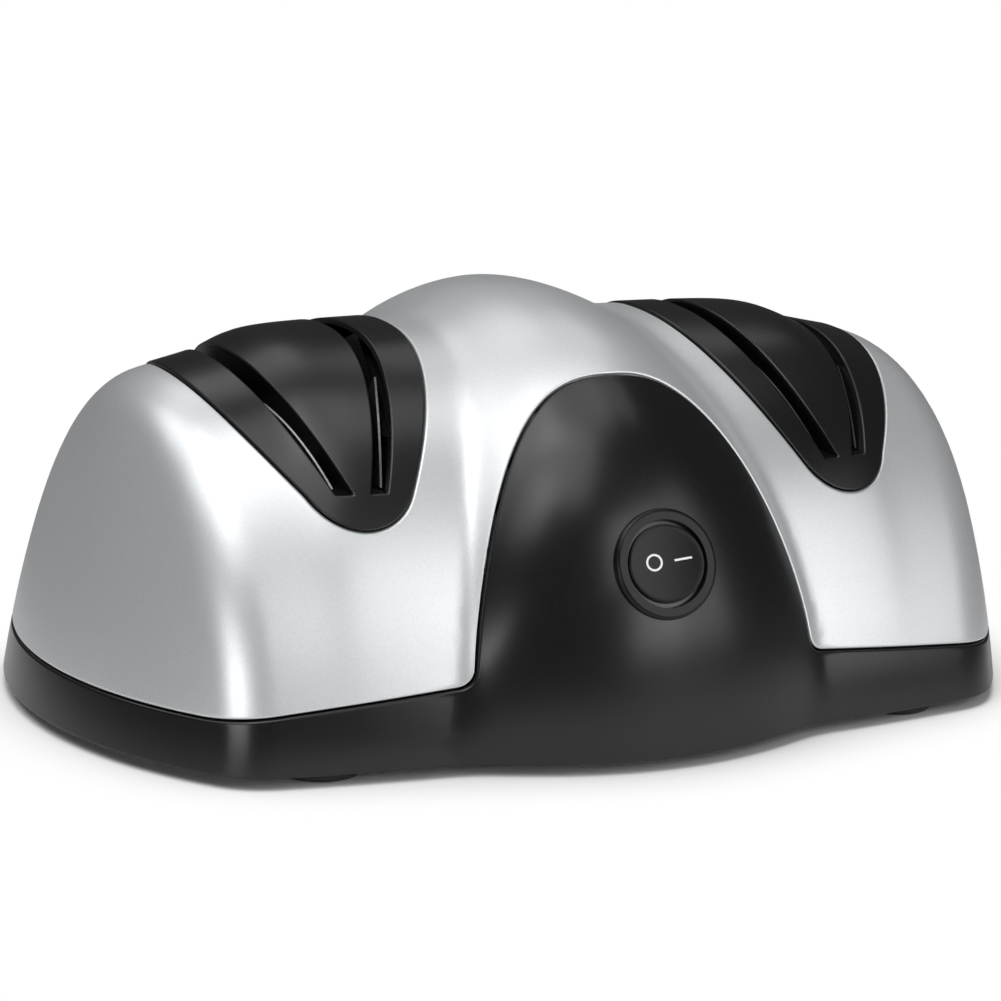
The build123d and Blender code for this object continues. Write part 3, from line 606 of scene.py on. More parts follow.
def inner_walls(node, lift, drop):
    """Points in mm and faces of a node without its outer faces, its rim lowered by drop."""
    mesh = bmesh.new()
    mesh.from_mesh(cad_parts[node].data)
    bmesh.ops.remove_doubles(mesh, verts=mesh.verts, dist=MERGE)
    mesh.verts.index_update()
    points = np.array([v.co for v in mesh.verts]) / MM
    offset, normals = gap(points) - lift, outward(points)
    on_skin = (offset > -SKIN_BELOW) & (offset < SKIN_ABOVE)
    walls = [[v.index for v in face.verts] for face in mesh.faces
             if is_wall(face, on_skin, normals)]
    mesh.free()
    points[on_skin] -= ways_down(normals)[on_skin] * (offset + drop)[on_skin, None]
    off = np.abs(offset[on_skin])
    print(node, "is off the formula by", off.mean().round(3), "mm,", off.max().round(3), "at most")
    return points, walls


# %% Join a skin and the inner walls of its node
RIM_DROP = 0.3  # mm by which the lowered rim stays clear of the rolled edge
SHARP_ANGLE = math.radians(30)


def new_object(name, data):
    """An object in the scene for a mesh, a lamp or a camera."""
    made = bpy.data.objects.new(name, data)
    bpy.context.scene.collection.objects.link(made)
    return made


def lay_over(name, node, skin, lift, roll):
    """One object from a fine skin and the inner walls of its node."""
    skin_points, skin_faces, skin_normals = skin
    points, walls = inner_walls(node, lift, roll + RIM_DROP)
    kept = sorted({i for wall in walls for i in wall})
    place = {v: k + len(skin_points) for k, v in enumerate(kept)}
    vertices = np.vstack([skin_points, points[kept]]) * MM
    faces = skin_faces + [tuple(place[i] for i in wall) for wall in walls]
    data = bpy.data.meshes.new(name)
    data.from_pydata(vertices.tolist(), [], faces)
    data.shade_smooth()
    data.set_sharp_from_angle(angle=SHARP_ANGLE)
    corner_vertex = np.empty(len(data.loops), int)
    data.loops.foreach_get("vertex_index", corner_vertex)
    corner_normal = np.zeros((len(data.loops), 3))
    fine = corner_vertex < len(skin_points)
    corner_normal[fine] = skin_normals[corner_vertex[fine]]
    data.normals_split_custom_set(corner_normal.tolist())
    piece = new_object(name, data)
    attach(piece, "housing")
    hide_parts(node)
    print(name, len(data.vertices), "vertices", len(data.polygons), "faces")
    return piece


# %% [markdown]
# Four mouldings make the outside: the painted cover, the black base with its arch, and the two
# black saddles, which stand a little proud of the cover. All of them are the same three steps, an
# outline with its holes, a skin, and the walls of the node under it.

# %% Silver cover, black base and the two inserts
BASE_PITCH, INSERT_PITCH, INSERT_SKIN_PITCH = 2.2, 0.8, 1.8
cover = lay_over("silver_cover", "top_cover", cover_skin, 0.0, ROLL)
base_skin = skin_mesh([rim_loop(), part_loop(0.0)], ROLL, 0.0, BASE_PITCH)
base = lay_over("black_base", "base_housing", base_skin, 0.0, ROLL)
inserts = []
for side, hand in SIDES:
    insert_loops = [u_loop(side, 0.0, INSERT_PITCH)] + [slot_loop(side, slot) for slot in SLOTS]
    skin = skin_mesh(insert_loops, SLOT_ROLL, INSERT_PROUD, INSERT_SKIN_PITCH, SLOT_SPREAD)
    inserts.append(lay_over(
        f"saddle_insert_{hand}", f"slot_insert_{hand}", skin, INSERT_PROUD, SLOT_ROLL))

# %% [markdown]
# ## The rocker of the switch
# The rocker is a round cap whose face is hollowed a little and whose rim is rolled. It is round in
# plan, so rings of points make it: each ring has its own radius and depth, and the hollow is added
# to the height. A short pin at each end of its axis is made of rings as well.

# %% Where the rocker sits, and the hollow of its face
SWITCH_MIDDLE, SWITCH_LEAN, BEZEL_FRONT = Vector((0, -73.1, 41.4)), math.radians(20), 0.4
PIVOT_DROP, ROCKER_TURN = 2.6, math.radians(10)
ROCKER_R, ROCKER_RISE, ROCKER_HOLLOW, HOLLOW_MARGIN = 7.9, 3.1, 0.8, 2
sideways = Vector((1, 0, 0))
upright = Vector((0, math.sin(SWITCH_LEAN), math.cos(SWITCH_LEAN)))
panel_out = Vector((0, -math.cos(SWITCH_LEAN), math.sin(SWITCH_LEAN)))
pivot = SWITCH_MIDDLE + panel_out * (BEZEL_FRONT - PIVOT_DROP)
rocker_across = sideways * math.cos(ROCKER_TURN) + panel_out * math.sin(ROCKER_TURN)
rocker_out = panel_out * math.cos(ROCKER_TURN) - sideways * math.sin(ROCKER_TURN)


def face_height(across):
    """Height of the hollowed face above the pivot, on an arc through its middle and its rims."""
    far = ROCKER_R + HOLLOW_MARGIN
    radius = (far**2 + ROCKER_HOLLOW**2) / (2 * ROCKER_HOLLOW)
    return ROCKER_RISE + radius - math.sqrt(radius**2 - across**2)


def rocker_point(across, along, out):
    """A place in metres from mm across the rocker, along its axis and out of its face."""
    return (pivot + rocker_across * across + upright * along + rocker_out * out) * MM


print("pivot at", tuple(round(c, 2) for c in pivot), "face", round(face_height(0), 2), "mm above")


# %% Meshes from rings
def circle(radius, sides):
    """(a, b) points round a circle."""
    turns = np.linspace(0, 2 * math.pi, sides, endpoint=False)
    return [(radius * math.cos(turn), radius * math.sin(turn)) for turn in turns]


def ring_mesh(mesh, rings):
    """Quads between rings of points, and a fan over each end."""
    rows = [[mesh.verts.new(point) for point in ring] for ring in rings]
    size = len(rows[0])
    for low, high in zip(rows, rows[1:]):
        for i in range(size):
            mesh.faces.new((low[i], low[(i + 1) % size], high[(i + 1) % size], high[i]))
    for row in (rows[0], rows[-1]):
        top = mesh.verts.new(sum((v.co for v in row), Vector()) / size)
        for i in range(size):
            mesh.faces.new((row[i], row[(i + 1) % size], top))


def finished_piece(name, mesh, body, *nodes):
    """A piece from a bmesh: outward faces, soft shading, its body and the nodes it replaces."""
    bmesh.ops.recalc_face_normals(mesh, faces=mesh.faces)
    data = bpy.data.meshes.new(name)
    mesh.to_mesh(data)
    mesh.free()
    data.shade_smooth()
    data.set_sharp_from_angle(angle=SHARP_ANGLE)
    piece = new_object(name, data)
    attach(piece, body)
    if nodes:
        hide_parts(*nodes)
    print(name, len(data.vertices), "vertices")
    return piece


# %% Rocker cap with its pins
ROCKER_KEEL, ROCKER_ROLL, ROLL_PARTS, ROCKER_SIDES = 1.2, 0.55, 6, 96
FACE_RINGS = (0.85, 0.7, 0.5, 0.3, 0.12)  # shares of the rocker's radius
PIN_R, PIN_START, PIN_END, PIN_CHAMFER, PIN_TIP, PIN_SIDES = 1.0, 6.5, 9.5, 0.2, 0.8, 24
mesh = bmesh.new()
profile = [(ROCKER_R, None)]  # radius, and sink below the face or None at the keel
for part in range(ROLL_PARTS + 1):
    turn = math.pi / 2 * part / ROLL_PARTS
    radius = ROCKER_R - ROCKER_ROLL * (1 - math.cos(turn))
    profile.append((radius, ROCKER_ROLL * (1 - math.sin(turn))))
profile += [(ROCKER_R * share, 0.0) for share in FACE_RINGS]
rings = []
for radius, sink in profile:
    rings.append([
        rocker_point(across, along, -ROCKER_KEEL if sink is None else face_height(across) - sink)
        for across, along in circle(radius, ROCKER_SIDES)])
ring_mesh(mesh, rings)
pin = [(PIN_START, PIN_R), (PIN_END - PIN_CHAMFER, PIN_R), (PIN_END, PIN_R * PIN_TIP)]
for end in (-1, 1):
    ring_mesh(mesh, [[rocker_point(a, end * along, b) for a, b in circle(radius, PIN_SIDES)]
                     for along, radius in pin])
rocker_cap = finished_piece("rocker_cap", mesh, "rocker", "switch_rocker")

# %% [markdown]
# The O and the dash are thin prints on the face. A picture on the face would need its own
# unwrapping, and two lines of points with a print between them follow the hollow by themselves.

# %% Printed marks on the rocker
MARK_PROUD, MARK_SUNK = 0.04, 0.1
OFF_MIDDLE, OFF_RADIUS, OFF_STROKE, OFF_SIDES = (-2.46, 0.41), 1.52, 0.42, 48
DASH_START, DASH_END, DASH_STROKE, DASH_STEPS = Vector((1.75, 0.47)), Vector((5.35, 0.72)), 0.44, 8


def print_band(name, lines, closed):
    """A thin print between two lines of points on the rocker's face, a ring where it is closed."""
    mesh = bmesh.new()
    (top_a, top_b), (low_a, low_b) = (
        [[mesh.verts.new(rocker_point(a, b, face_height(a) + proud)) for a, b in line]
         for line in lines] for proud in (MARK_PROUD, -MARK_SUNK))
    size = len(top_a)
    for i in range(size if closed else size - 1):
        j = (i + 1) % size
        mesh.faces.new((top_a[i], top_a[j], top_b[j], top_b[i]))
        mesh.faces.new((low_a[i], low_b[i], low_b[j], low_a[j]))
        mesh.faces.new((top_a[i], low_a[i], low_a[j], top_a[j]))
        mesh.faces.new((top_b[i], top_b[j], low_b[j], low_b[i]))
    if not closed:
        for k in (0, size - 1):
            mesh.faces.new((top_a[k], top_b[k], low_b[k], low_a[k]))
    return finished_piece(name, mesh, "rocker")


off_mark = print_band("off_mark", [
    [(OFF_MIDDLE[0] + a, OFF_MIDDLE[1] + b) for a, b in circle(radius, OFF_SIDES)]
    for radius in (OFF_RADIUS + OFF_STROKE / 2, OFF_RADIUS - OFF_STROKE / 2)], closed=True)
square = (DASH_END - DASH_START).normalized().orthogonal() * DASH_STROKE / 2
dash_mark = print_band("dash_mark", [
    [tuple(DASH_START.lerp(DASH_END, t) + square * edge) for t in np.linspace(0, 1, DASH_STEPS)]
    for edge in (1, -1)], closed=False)

# %% [markdown]
# ## Screws and feet
# Four screws hold the base up against the posts of the cover, and four rubber feet stand beside
# them. Each is made once by a geometry tree and put on its places as instances, because a change
# then reaches all of them. The tree ends by turning the instances into real mesh, and the modifier
# is gone before the piece is finished.


# %% Tree helpers
def add_node(tree, kind, links=(), **settings):
    """A node with its settings, and its inputs linked or given values."""
    node = tree.nodes.new(kind)
    for key, value in settings.items():
        setattr(node, key, value)
    for socket, source in links:
        if isinstance(source, bpy.types.NodeSocket):
            tree.links.new(source, node.inputs[socket])
        else:
            node.inputs[socket].default_value = source
    return node


def maths(tree, operation, a, b):
    """The result of a math node on two sockets or numbers."""
    node = add_node(tree, "ShaderNodeMath", [(0, a), (1, b)], operation=operation)
    return node.outputs["Value"]


def times(tree, value, factor):
    return maths(tree, "MULTIPLY", value, factor)


def outer_socket(tree, label, kind, in_out="INPUT", value=None):
    """A named input or output of a whole tree, of a kind such as Float or Geometry."""
    socket = tree.interface.new_socket(label, in_out=in_out, socket_type=f"NodeSocket{kind}")
    if value is not None:
        socket.default_value = value


# %% Start and end of a geometry tree
def geometry_tree(name, sizes):
    """A geometry tree with an input for each size in mm: the tree, its start and its end."""
    tree = bpy.data.node_groups.new(name, "GeometryNodeTree")
    outer_socket(tree, "Places", "Geometry")
    outer_socket(tree, "Material", "Material")
    outer_socket(tree, "Geometry", "Geometry", in_out="OUTPUT")
    for label, size in sizes.items():
        outer_socket(tree, label, "Float", value=size * MM)
    return tree, tree.nodes.new("NodeGroupInput"), tree.nodes.new("NodeGroupOutput")


def on_places(tree, start, end, shapes):
    """Last nodes of a tree: the joined shapes on every place, made real, with the material."""
    joined = tree.nodes.new("GeometryNodeJoinGeometry")
    for shape in shapes:
        tree.links.new(shape, joined.inputs["Geometry"])
    many = add_node(tree, "GeometryNodeInstanceOnPoints", [
        ("Points", start.outputs["Places"]), ("Instance", joined.outputs["Geometry"])])
    real = add_node(tree, "GeometryNodeRealizeInstances", [
        ("Geometry", many.outputs["Instances"])])
    dressed = add_node(tree, "GeometryNodeSetMaterial", [
        ("Geometry", real.outputs["Geometry"]), ("Material", start.outputs["Material"])])
    tree.links.new(dressed.outputs["Geometry"], end.inputs["Geometry"])


def lifted(tree, shape, height):
    """A shape moved straight up by a socket or a number."""
    move = add_node(tree, "ShaderNodeCombineXYZ", [("Z", height)])
    return add_node(tree, "GeometryNodeTransform", [
        ("Geometry", shape), ("Translation", move.outputs["Vector"])]).outputs["Geometry"]


def disc(tree, low_radius, high_radius, low, depth, sides=40):
    """A round frustum with sockets or numbers for its radii, foot and height."""
    cone = add_node(tree, "GeometryNodeMeshCone", [
        ("Vertices", sides), ("Radius Bottom", low_radius), ("Radius Top", high_radius),
        ("Depth", depth)])
    return lifted(tree, cone.outputs["Mesh"], low)


# %% Tree of the screw
SCREW_SIZES = {"Head Radius": 3.4, "Head Height": 2.0, "Shank Radius": 1.5, "Shank Length": 17.0}
HEAD_TAPER, CROWN_SHARE = 0.72, 0.4
RECESS_LONG, RECESS_WIDE, RECESS_DEEP = 1.1, 0.26, 1.2  # shares of the head's radius and height
FINE_SIDES, SMALL_SIDES = 64, 24


def screw_tree():
    """A pan head with a cross recess, head down, and its shank above."""
    tree, start, end = geometry_tree("cross_recess_screw", SCREW_SIZES)
    head, height = start.outputs["Head Radius"], start.outputs["Head Height"]
    crown_height = times(tree, height, CROWN_SHARE)
    crown = disc(tree, times(tree, head, HEAD_TAPER), head, 0.0, crown_height)
    rim = disc(tree, head, head, crown_height, times(tree, height, 1 - CROWN_SHARE))
    whole = add_node(tree, "GeometryNodeMeshBoolean", operation="UNION", solver="EXACT")
    for part in (crown, rim):
        tree.links.new(part, whole.inputs["Mesh 2"])
    recess = add_node(tree, "GeometryNodeMeshBoolean", [("Mesh 1", whole.outputs["Mesh"])],
                      operation="DIFFERENCE", solver="EXACT")
    for across, along in ((RECESS_LONG, RECESS_WIDE), (RECESS_WIDE, RECESS_LONG)):
        size = add_node(tree, "ShaderNodeCombineXYZ", [
            ("X", times(tree, head, across)), ("Y", times(tree, head, along)),
            ("Z", times(tree, height, RECESS_DEEP))])
        bar = add_node(tree, "GeometryNodeMeshCube", [("Size", size.outputs["Vector"])])
        tree.links.new(bar.outputs["Mesh"], recess.inputs["Mesh 2"])
    thick, long = start.outputs["Shank Radius"], start.outputs["Shank Length"]
    shank = disc(tree, thick, thick, height, long, SMALL_SIDES)
    on_places(tree, start, end, [recess.outputs["Mesh"], shank])
    return tree


# %% Tree of the foot
FOOT_SIZES = {"Radius": 9.0, "Height": 3.3, "Plug Radius": 2.5, "Plug Length": 3.0}
PAD_TAPER, PAD_CLEAR, PAD_ROLL = 0.93, 0.09, 0.2  # shares of the foot's radius and height
TREADS, TREAD_SHARE, TREAD_STEPS, TREAD_SIDES = (0.3, 0.55, 0.8), 0.14, 48, 8


def foot_tree():
    """A rubber pad with a rolled lower edge, three tread rings under it and a plug above."""
    tree, start, end = geometry_tree("rubber_foot", FOOT_SIZES)
    radius, height = start.outputs["Radius"], start.outputs["Height"]
    wall_foot = PAD_CLEAR + PAD_ROLL
    pad = disc(tree, times(tree, radius, PAD_TAPER), radius, times(tree, height, PAD_CLEAR),
               times(tree, height, PAD_ROLL), FINE_SIDES)
    wall = disc(tree, radius, radius, times(tree, height, wall_foot),
                times(tree, height, 1 - wall_foot), FINE_SIDES)
    thick, long = start.outputs["Plug Radius"], start.outputs["Plug Length"]
    shapes = [pad, wall, disc(tree, thick, thick, height, long, SMALL_SIDES)]
    bead = times(tree, height, TREAD_SHARE)
    section = add_node(tree, "GeometryNodeCurvePrimitiveCircle", [
        ("Resolution", TREAD_SIDES), ("Radius", bead)])
    for share in TREADS:
        path = add_node(tree, "GeometryNodeCurvePrimitiveCircle", [
            ("Resolution", TREAD_STEPS), ("Radius", times(tree, radius, share))])
        ring = add_node(tree, "GeometryNodeCurveToMesh", [
            ("Curve", path.outputs["Curve"]), ("Profile Curve", section.outputs["Curve"])])
        shapes.append(lifted(tree, ring.outputs["Mesh"], bead))
    on_places(tree, start, end, shapes)
    return tree


print("a screw has the sizes", list(SCREW_SIZES), "and a foot", list(FOOT_SIZES))

# %% [markdown]
# ## Finishes
# Every finish here starts from the same two effects, a fine grain and soft patches, so each effect
# is a node group with its own inputs, and a material mixes them with its own values. The grain
# breaks up the colour and the surface, and the patches vary how dull it is.


# %% Shader groups
def shader_group(name, inputs, outputs):
    """An empty shader group with number inputs (name, default) and number outputs."""
    group = bpy.data.node_groups.new(name, "ShaderNodeTree")
    for label, value in inputs:
        outer_socket(group, label, "Float", value=value)
    for label in outputs:
        outer_socket(group, label, "Float", in_out="OUTPUT")
    return group, group.nodes.new("NodeGroupInput"), group.nodes.new("NodeGroupOutput")


def noise(group, scale, detail, roughness):
    """Noise on Object coordinates, with sockets or numbers for its settings."""
    where = add_node(group, "ShaderNodeTexCoord")
    return add_node(group, "ShaderNodeTexNoise", [
        ("Vector", where.outputs["Object"]), ("Scale", scale), ("Detail", detail),
        ("Roughness", roughness)]).outputs["Fac"]


def spread_out(group, value, low=0.0, high=1.0):
    """Noise keeps to the middle of its range: this spreads it from low to high."""
    return add_node(group, "ShaderNodeMapRange", [
        ("Value", value), ("From Min", 0.3), ("From Max", 0.7), ("To Min", low),
        ("To Max", high)]).outputs["Result"]


def make_grain():
    """Fine even grain over the whole surface: a height for the bump and a mask around one half."""
    group, start, end = shader_group(
        "fine_grain", [("Scale", 1000.0), ("Detail", 2.0)], ["Height", "Mask"])
    fine = noise(group, start.outputs["Scale"], start.outputs["Detail"], 0.6)
    group.links.new(fine, end.inputs["Height"])
    group.links.new(spread_out(group, fine), end.inputs["Mask"])
    return group


def make_unevenness():
    """Broad soft patches, as hands and moulding leave them."""
    group, start, end = shader_group(
        "soft_patches", [("Scale", 30.0), ("Low", 0.0), ("High", 1.0)], ["Value"])
    broad = noise(group, start.outputs["Scale"], 3.0, 0.5)
    fitted = spread_out(group, broad, start.outputs["Low"], start.outputs["High"])
    group.links.new(fitted, end.inputs["Value"])
    return group


GRAIN, PATCHES = make_grain(), make_unevenness()
print("groups", GRAIN.name, PATCHES.name)


# %% A material from a few measured values
def finish(name, dark, light, roughness, metallic=0.0, grain=1000.0, bump=0.1, depth=0.02,
           specular=0.5):
    """A material: the grain mixes dark and light and gives a fine bump, patches vary roughness."""
    material = bpy.data.materials.new(name)
    material.use_nodes = True
    tree = material.node_tree
    shader = tree.nodes["Principled BSDF"]
    shader.inputs["Metallic"].default_value = metallic
    shader.inputs["Specular IOR Level"].default_value = specular
    fine = add_node(tree, "ShaderNodeGroup", node_tree=GRAIN)
    fine.inputs["Scale"].default_value = grain
    colour = add_node(tree, "ShaderNodeMix", [("Factor", fine.outputs["Mask"])], data_type="RGBA")
    colour.inputs["A"].default_value = (*dark, 1)
    colour.inputs["B"].default_value = (*light, 1)
    tree.links.new(colour.outputs["Result"], shader.inputs["Base Color"])
    broad = add_node(tree, "ShaderNodeGroup", node_tree=PATCHES)
    broad.inputs["Low"].default_value, broad.inputs["High"].default_value = roughness
    tree.links.new(broad.outputs["Value"], shader.inputs["Roughness"])
    relief = add_node(tree, "ShaderNodeBump", [
        ("Height", fine.outputs["Height"]), ("Strength", bump), ("Distance", depth * MM)])
    tree.links.new(relief.outputs["Normal"], shader.inputs["Normal"])
    return material


def grey(value):
    return (value, value, value)


def dress(piece, material):
    """Gives a piece one material."""
    piece.data.materials.clear()
    piece.data.materials.append(material)


# %% [markdown]
# The cover is painted a satin silver, which is half way between metal and plastic. The mouldings
# and the switch are gloss black with a very fine texture. The parts inside are seen only through
# the slots and from below, and each gets the plain finish of its own material.

# %% Finishes of the outside
silver = finish("satin_silver_paint", (0.70, 0.72, 0.735), (0.765, 0.785, 0.80), (0.36, 0.42),
                metallic=0.6, grain=2500, bump=0.15, depth=0.01)
black_abs = finish("black_moulding", grey(0.006), grey(0.010), (0.22, 0.28), grain=1800, bump=0.2)
black_insert = finish("black_insert", grey(0.006), grey(0.010), (0.25, 0.31), grain=2200, bump=0.2)
switch_black = finish("switch_plastic", grey(0.005), grey(0.008), (0.27, 0.33),
                      grain=2500, bump=0.15, depth=0.01, specular=0.28)
mark_white = finish("white_print", grey(0.80), grey(0.86), (0.45, 0.55), grain=3000, depth=0.01)
rubber = finish("foot_rubber", grey(0.012), grey(0.022), (0.75, 0.9),
                grain=1200, bump=0.4, depth=0.05)
for piece, material, slot in [
        (cover, silver, "cover_silver"), (base, black_abs, "black_plastic"),
        *[(insert, black_insert, "black_plastic") for insert in inserts],
        (rocker_cap, switch_black, "switch_black"), (off_mark, mark_white, "switch_black"),
        (dash_mark, mark_white, "switch_black")]:
    dress(piece, material)
    print(piece.name, "in", material.name)

# %% Finishes of the parts inside
spring_steel = finish("spring_steel", grey(0.16), grey(0.24), (0.30, 0.42),
                      metallic=1.0, grain=900, depth=0.01)
steel = finish("bright_steel", grey(0.55), grey(0.70), (0.18, 0.30),
               metallic=1.0, grain=900, depth=0.01)
ceramic = finish("grinding_ceramic", (0.35, 0.33, 0.30), (0.62, 0.60, 0.56), (0.7, 0.9),
                 grain=1600, bump=0.6, depth=0.08)
copper = finish("enamelled_copper", (0.30, 0.09, 0.03), (0.50, 0.18, 0.07), (0.25, 0.4),
                metallic=0.9, grain=700)
core_steel = finish("core_steel", grey(0.18), grey(0.32), (0.35, 0.55),
                    metallic=1.0, grain=1500, bump=0.3)
brass = finish("sintered_bronze", (0.38, 0.25, 0.10), (0.55, 0.38, 0.18), (0.3, 0.5),
               metallic=1.0, grain=1500)
nylon = finish("natural_nylon", (0.60, 0.58, 0.50), (0.70, 0.68, 0.60), (0.4, 0.5), grain=800)
LOOKS = {
    switch_black: ["switch_housing"],
    spring_steel: ["guide_springs_left", "guide_springs_right"],
    ceramic: ["coarse_wheel", "fine_wheel"],
    core_steel: ["wheel_hub_left", "wheel_hub_right", "rotor_core", "motor_stator"],
    steel: ["wheel_washers", "wheel_nuts", "motor_shaft", "bearing_bracket_left",
            "bearing_bracket_right", "stator_bolts", "motor_mount_plate", "motor_screws"],
    brass: ["bearing_bush_left", "bearing_bush_right", "switch_terminals"],
    nylon: ["cooling_fan", "coil_bobbin", "terminal_block"],
    copper: ["coil_winding"],
    rubber: ["motor_grommets", "cord_gland"],
}
for material, nodes in LOOKS.items():
    for node in nodes:
        dress(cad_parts[node], material)
    print(material.name, "on", nodes)

# %% [markdown]
# The screws and feet can be grown now that their materials exist. A mesh that is nothing but
# points says where they go, and a modifier runs the tree on it. Its inputs are set by identifier,
# because two sockets of a tree may share a name.

# %% Screws and feet on their places
SCREW_X, SCREW_Y, SCREW_FOOT = 80, 34, 6.0
FOOT_PLACES = {"front": (66, -54), "back": (62, 43)}


def grown_piece(name, tree, places, sizes, material, node):
    """A plain mesh piece from a tree, its places and sizes in mm, and the node it replaces."""
    data = bpy.data.meshes.new(name)
    data.from_pydata([[c * MM for c in place] for place in places], [], [])
    piece = new_object(name, data)
    modifier = piece.modifiers.new("grow", "NODES")
    modifier.node_group = tree
    for item in tree.interface.items_tree:
        if item.name in sizes:
            modifier[item.identifier] = sizes[item.name] * MM
        if item.name == "Material":
            modifier[item.identifier] = material
    evaluated = piece.evaluated_get(bpy.context.evaluated_depsgraph_get())
    plain = bpy.data.meshes.new_from_object(evaluated)
    piece.modifiers.clear()
    piece.data = plain
    plain.shade_smooth()
    plain.set_sharp_from_angle(angle=SHARP_ANGLE)
    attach(piece, "housing")
    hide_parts(node)
    print(name, len(plain.vertices), "vertices", len(plain.polygons), "faces")
    return piece


screw_places = [(x, y, SCREW_FOOT) for y in (-SCREW_Y, SCREW_Y) for x in (-SCREW_X, SCREW_X)]
screws = grown_piece("cross_recess_screws", screw_tree(), screw_places, SCREW_SIZES, steel,
                     "housing_screws")
rubber_foot = foot_tree()
for end, (x, y) in FOOT_PLACES.items():
    for side, hand in SIDES:
        foot = grown_piece(f"rubber_foot_{end}_{hand}", rubber_foot, [(side * x, y, 0)],
                           FOOT_SIZES, rubber, f"foot_{end}_{hand}")

# %% [markdown]
# ## Studio
# A pale table inside a ring of soft panels: satin paint and gloss black are mostly reflections, so
# panels all round shape them better than one big lamp. Away from the object the table turns into
# plain white, so the picture has no horizon, and close to it the shadow stays.

# %% Table
TABLE_SIZE = 8  # metres, as are the next three values
FADE_START, FADE_END = 0.10, 0.24
SHADOW_REACH = 0.03  # how far from the object the table keeps its shadow
SHADOW_FULL, SHADOW_GONE = 0.45, 0.85  # openness at which the shadow stays, and at which it ends
TABLE_COLOUR, TABLE_ROUGHNESS, TABLE_SPECULAR = 0.92, 0.6, 0.1
REFLECTED_GLOW = 0.14  # brightness of the far table in the object's reflections


def table_glow(tree, path):
    """Plain white for the camera, and a soft glow for reflections."""
    reflected = times(tree, path.outputs["Is Glossy Ray"], REFLECTED_GLOW)
    bright = maths(tree, "MAXIMUM", path.outputs["Is Camera Ray"], reflected)
    return add_node(tree, "ShaderNodeEmission", [("Strength", bright)])


def glow_share(tree, path):
    """Where the table glows: far away, and also near for the camera where no shadow falls."""
    where = add_node(tree, "ShaderNodeTexCoord")
    reach = add_node(tree, "ShaderNodeVectorMath", [(0, where.outputs["Object"])],
                     operation="LENGTH")
    far = add_node(tree, "ShaderNodeMapRange", [
        ("Value", reach.outputs["Value"]), ("From Min", FADE_START), ("From Max", FADE_END)],
        interpolation_type="SMOOTHSTEP")
    nearby = add_node(tree, "ShaderNodeAmbientOcclusion", [("Distance", SHADOW_REACH)])
    lit = add_node(tree, "ShaderNodeMapRange", [
        ("Value", nearby.outputs["AO"]), ("From Min", SHADOW_FULL), ("From Max", SHADOW_GONE)])
    camera_ray, glossy_ray = path.outputs["Is Camera Ray"], path.outputs["Is Glossy Ray"]
    seen = maths(tree, "MAXIMUM", camera_ray, glossy_ray)
    far_seen = times(tree, far.outputs["Result"], seen)
    lit_seen = times(tree, lit.outputs["Result"], camera_ray)
    return maths(tree, "MAXIMUM", far_seen, lit_seen)


bpy.ops.mesh.primitive_plane_add(size=TABLE_SIZE, location=(0, 0, 0))
table = bpy.context.object
table.name = "table"
table_material = bpy.data.materials.new("pale_table")
table_material.use_nodes = True
tree = table_material.node_tree
shader = tree.nodes["Principled BSDF"]
shader.inputs["Base Color"].default_value = (*grey(TABLE_COLOUR), 1)
shader.inputs["Roughness"].default_value = TABLE_ROUGHNESS
shader.inputs["Specular IOR Level"].default_value = TABLE_SPECULAR
path = add_node(tree, "ShaderNodeLightPath")
mixed = add_node(tree, "ShaderNodeMixShader", [
    (0, glow_share(tree, path)), (1, shader.outputs["BSDF"]),
    (2, table_glow(tree, path).outputs["Emission"])])
tree.links.new(mixed.outputs["Shader"], tree.nodes["Material Output"].inputs["Surface"])
dress(table, table_material)
print(table.name, TABLE_SIZE, "m wide, with", len(tree.nodes), "nodes in its material")

# %% [markdown]
# The world is white where the camera sees it, straight or through something clear, and only a
# faint even light on everything else, so that the lamps alone draw the reflections.

# %% World
AMBIENT = 0.05
world = bpy.data.worlds.new("studio")
bpy.context.scene.world = world
world.use_nodes = True
tree = world.node_tree
backdrop = tree.nodes["Background"]
path = add_node(tree, "ShaderNodeLightPath")
seen = maths(tree, "MAXIMUM", path.outputs["Is Camera Ray"], path.outputs["Is Transmission Ray"])
strength = add_node(tree, "ShaderNodeMapRange", [("Value", seen), ("To Min", AMBIENT)])
tree.links.new(strength.outputs["Result"], backdrop.inputs["Strength"])
backdrop.inputs["Color"].default_value = (1, 1, 1, 1)
print(world.name, "lights the object at", AMBIENT)

# %% [markdown]
# Each lamp is a square panel. One function hangs them all at the same distance and turns them to
# the object, so a lamp is one line of a table. The panels overhead light the tops and leave the
# soft lights on the shoulders, and the low ones reach the end face and the front of the arch.

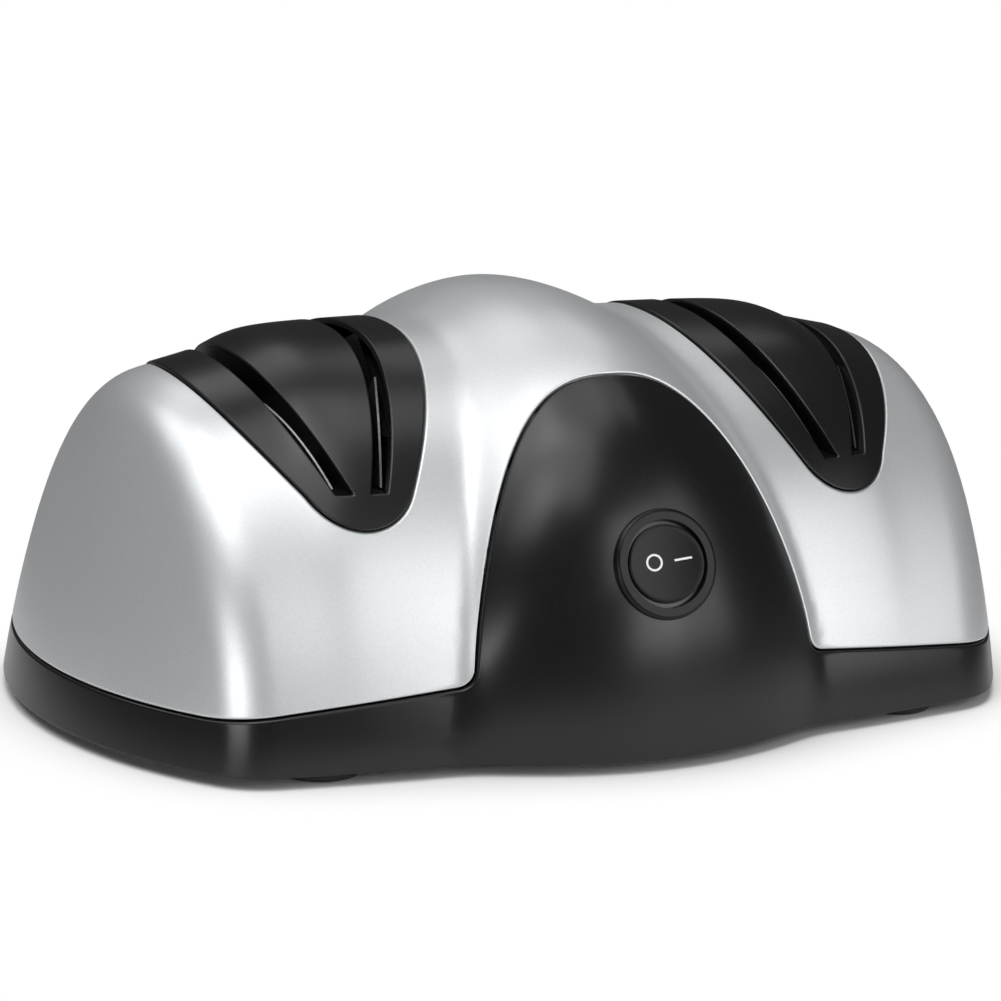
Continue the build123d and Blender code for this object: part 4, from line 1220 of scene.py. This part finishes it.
# %% Lamps
LAMP_DISTANCE, LAMP_AIM = 1.0, Vector((0, 0, 0.04))
LAMPS = [  # name, degrees round from the front, degrees up, size in metres, watts
    ("overhead", 0, 88, 0.5, 1.2),
    ("left_overhead", -90, 70, 0.4, 1.4),
    ("upper_left", -29, 63, 0.5, 1.7),
    ("left_shoulder", -50, 50, 0.35, 0.8),
    ("left_side", -85, 50, 0.35, 0.6),
    ("left_back", -130, 50, 0.35, 1.0),
    ("right_overhead", 90, 70, 0.35, 0.4),
    ("right_back", 140, 50, 0.35, 0.3),
    ("back_overhead", 180, 52, 0.4, 0.65),
    ("left_low", -50, 5, 0.4, 2.0),
    ("front", 15, 28, 0.4, 1.3),
    ("front_right", 40, 28, 0.4, 0.8),
    ("front_right_low", 37, 4, 0.42, 1.15),
    ("front_low", 20, 5, 0.3, 0.9),
]


def softbox(name, around, up, size, power):
    """A square soft lamp that faces the object."""
    turn, rise = math.radians(around), math.radians(up)
    level = math.cos(rise)
    towards = Vector((level * math.sin(turn), -level * math.cos(turn), math.sin(rise)))
    lamp = bpy.data.lights.new(name, "AREA")
    lamp.shape, lamp.size, lamp.energy = "SQUARE", size, power
    holder = new_object(name, lamp)
    holder.location = LAMP_AIM + towards * LAMP_DISTANCE
    holder.rotation_euler = (-towards).to_track_quat("-Z", "Y").to_euler()


for lamp in LAMPS:
    softbox(*lamp)
print(len(LAMPS), "lamps,", round(sum(lamp[-1] for lamp in LAMPS), 2), "watts in all")

# %% [markdown]
# A long lens a little to the left and above keeps the mouldings' lines nearly parallel, as on a
# catalogue page. The lens is shifted, not turned, to bring the object to the middle.

# %% Camera
CAMERA_PLACE = (-0.31722, -0.65567, 0.21266)
CAMERA_AHEAD = Vector((0.41741, 0.87858, -0.23211))
CAMERA_UP = Vector((0.07321, 0.22208, 0.97227))
LENS, SENSOR, SHIFT = 124.05, 36.0, (0.01586, -0.00685)
view = bpy.data.cameras.new("camera")
view.lens, view.sensor_width = LENS, SENSOR
view.shift_x, view.shift_y = SHIFT
camera = new_object("camera", view)
back = -CAMERA_AHEAD.normalized()
right = CAMERA_UP.cross(back).normalized()
turn = Matrix((right, back.cross(right), back)).transposed()
camera.matrix_world = Matrix.Translation(CAMERA_PLACE) @ turn.to_4x4()
bpy.context.scene.camera = camera
bpy.context.scene.view_settings.view_transform = "Standard"
print("camera with a", LENS, "mm lens")
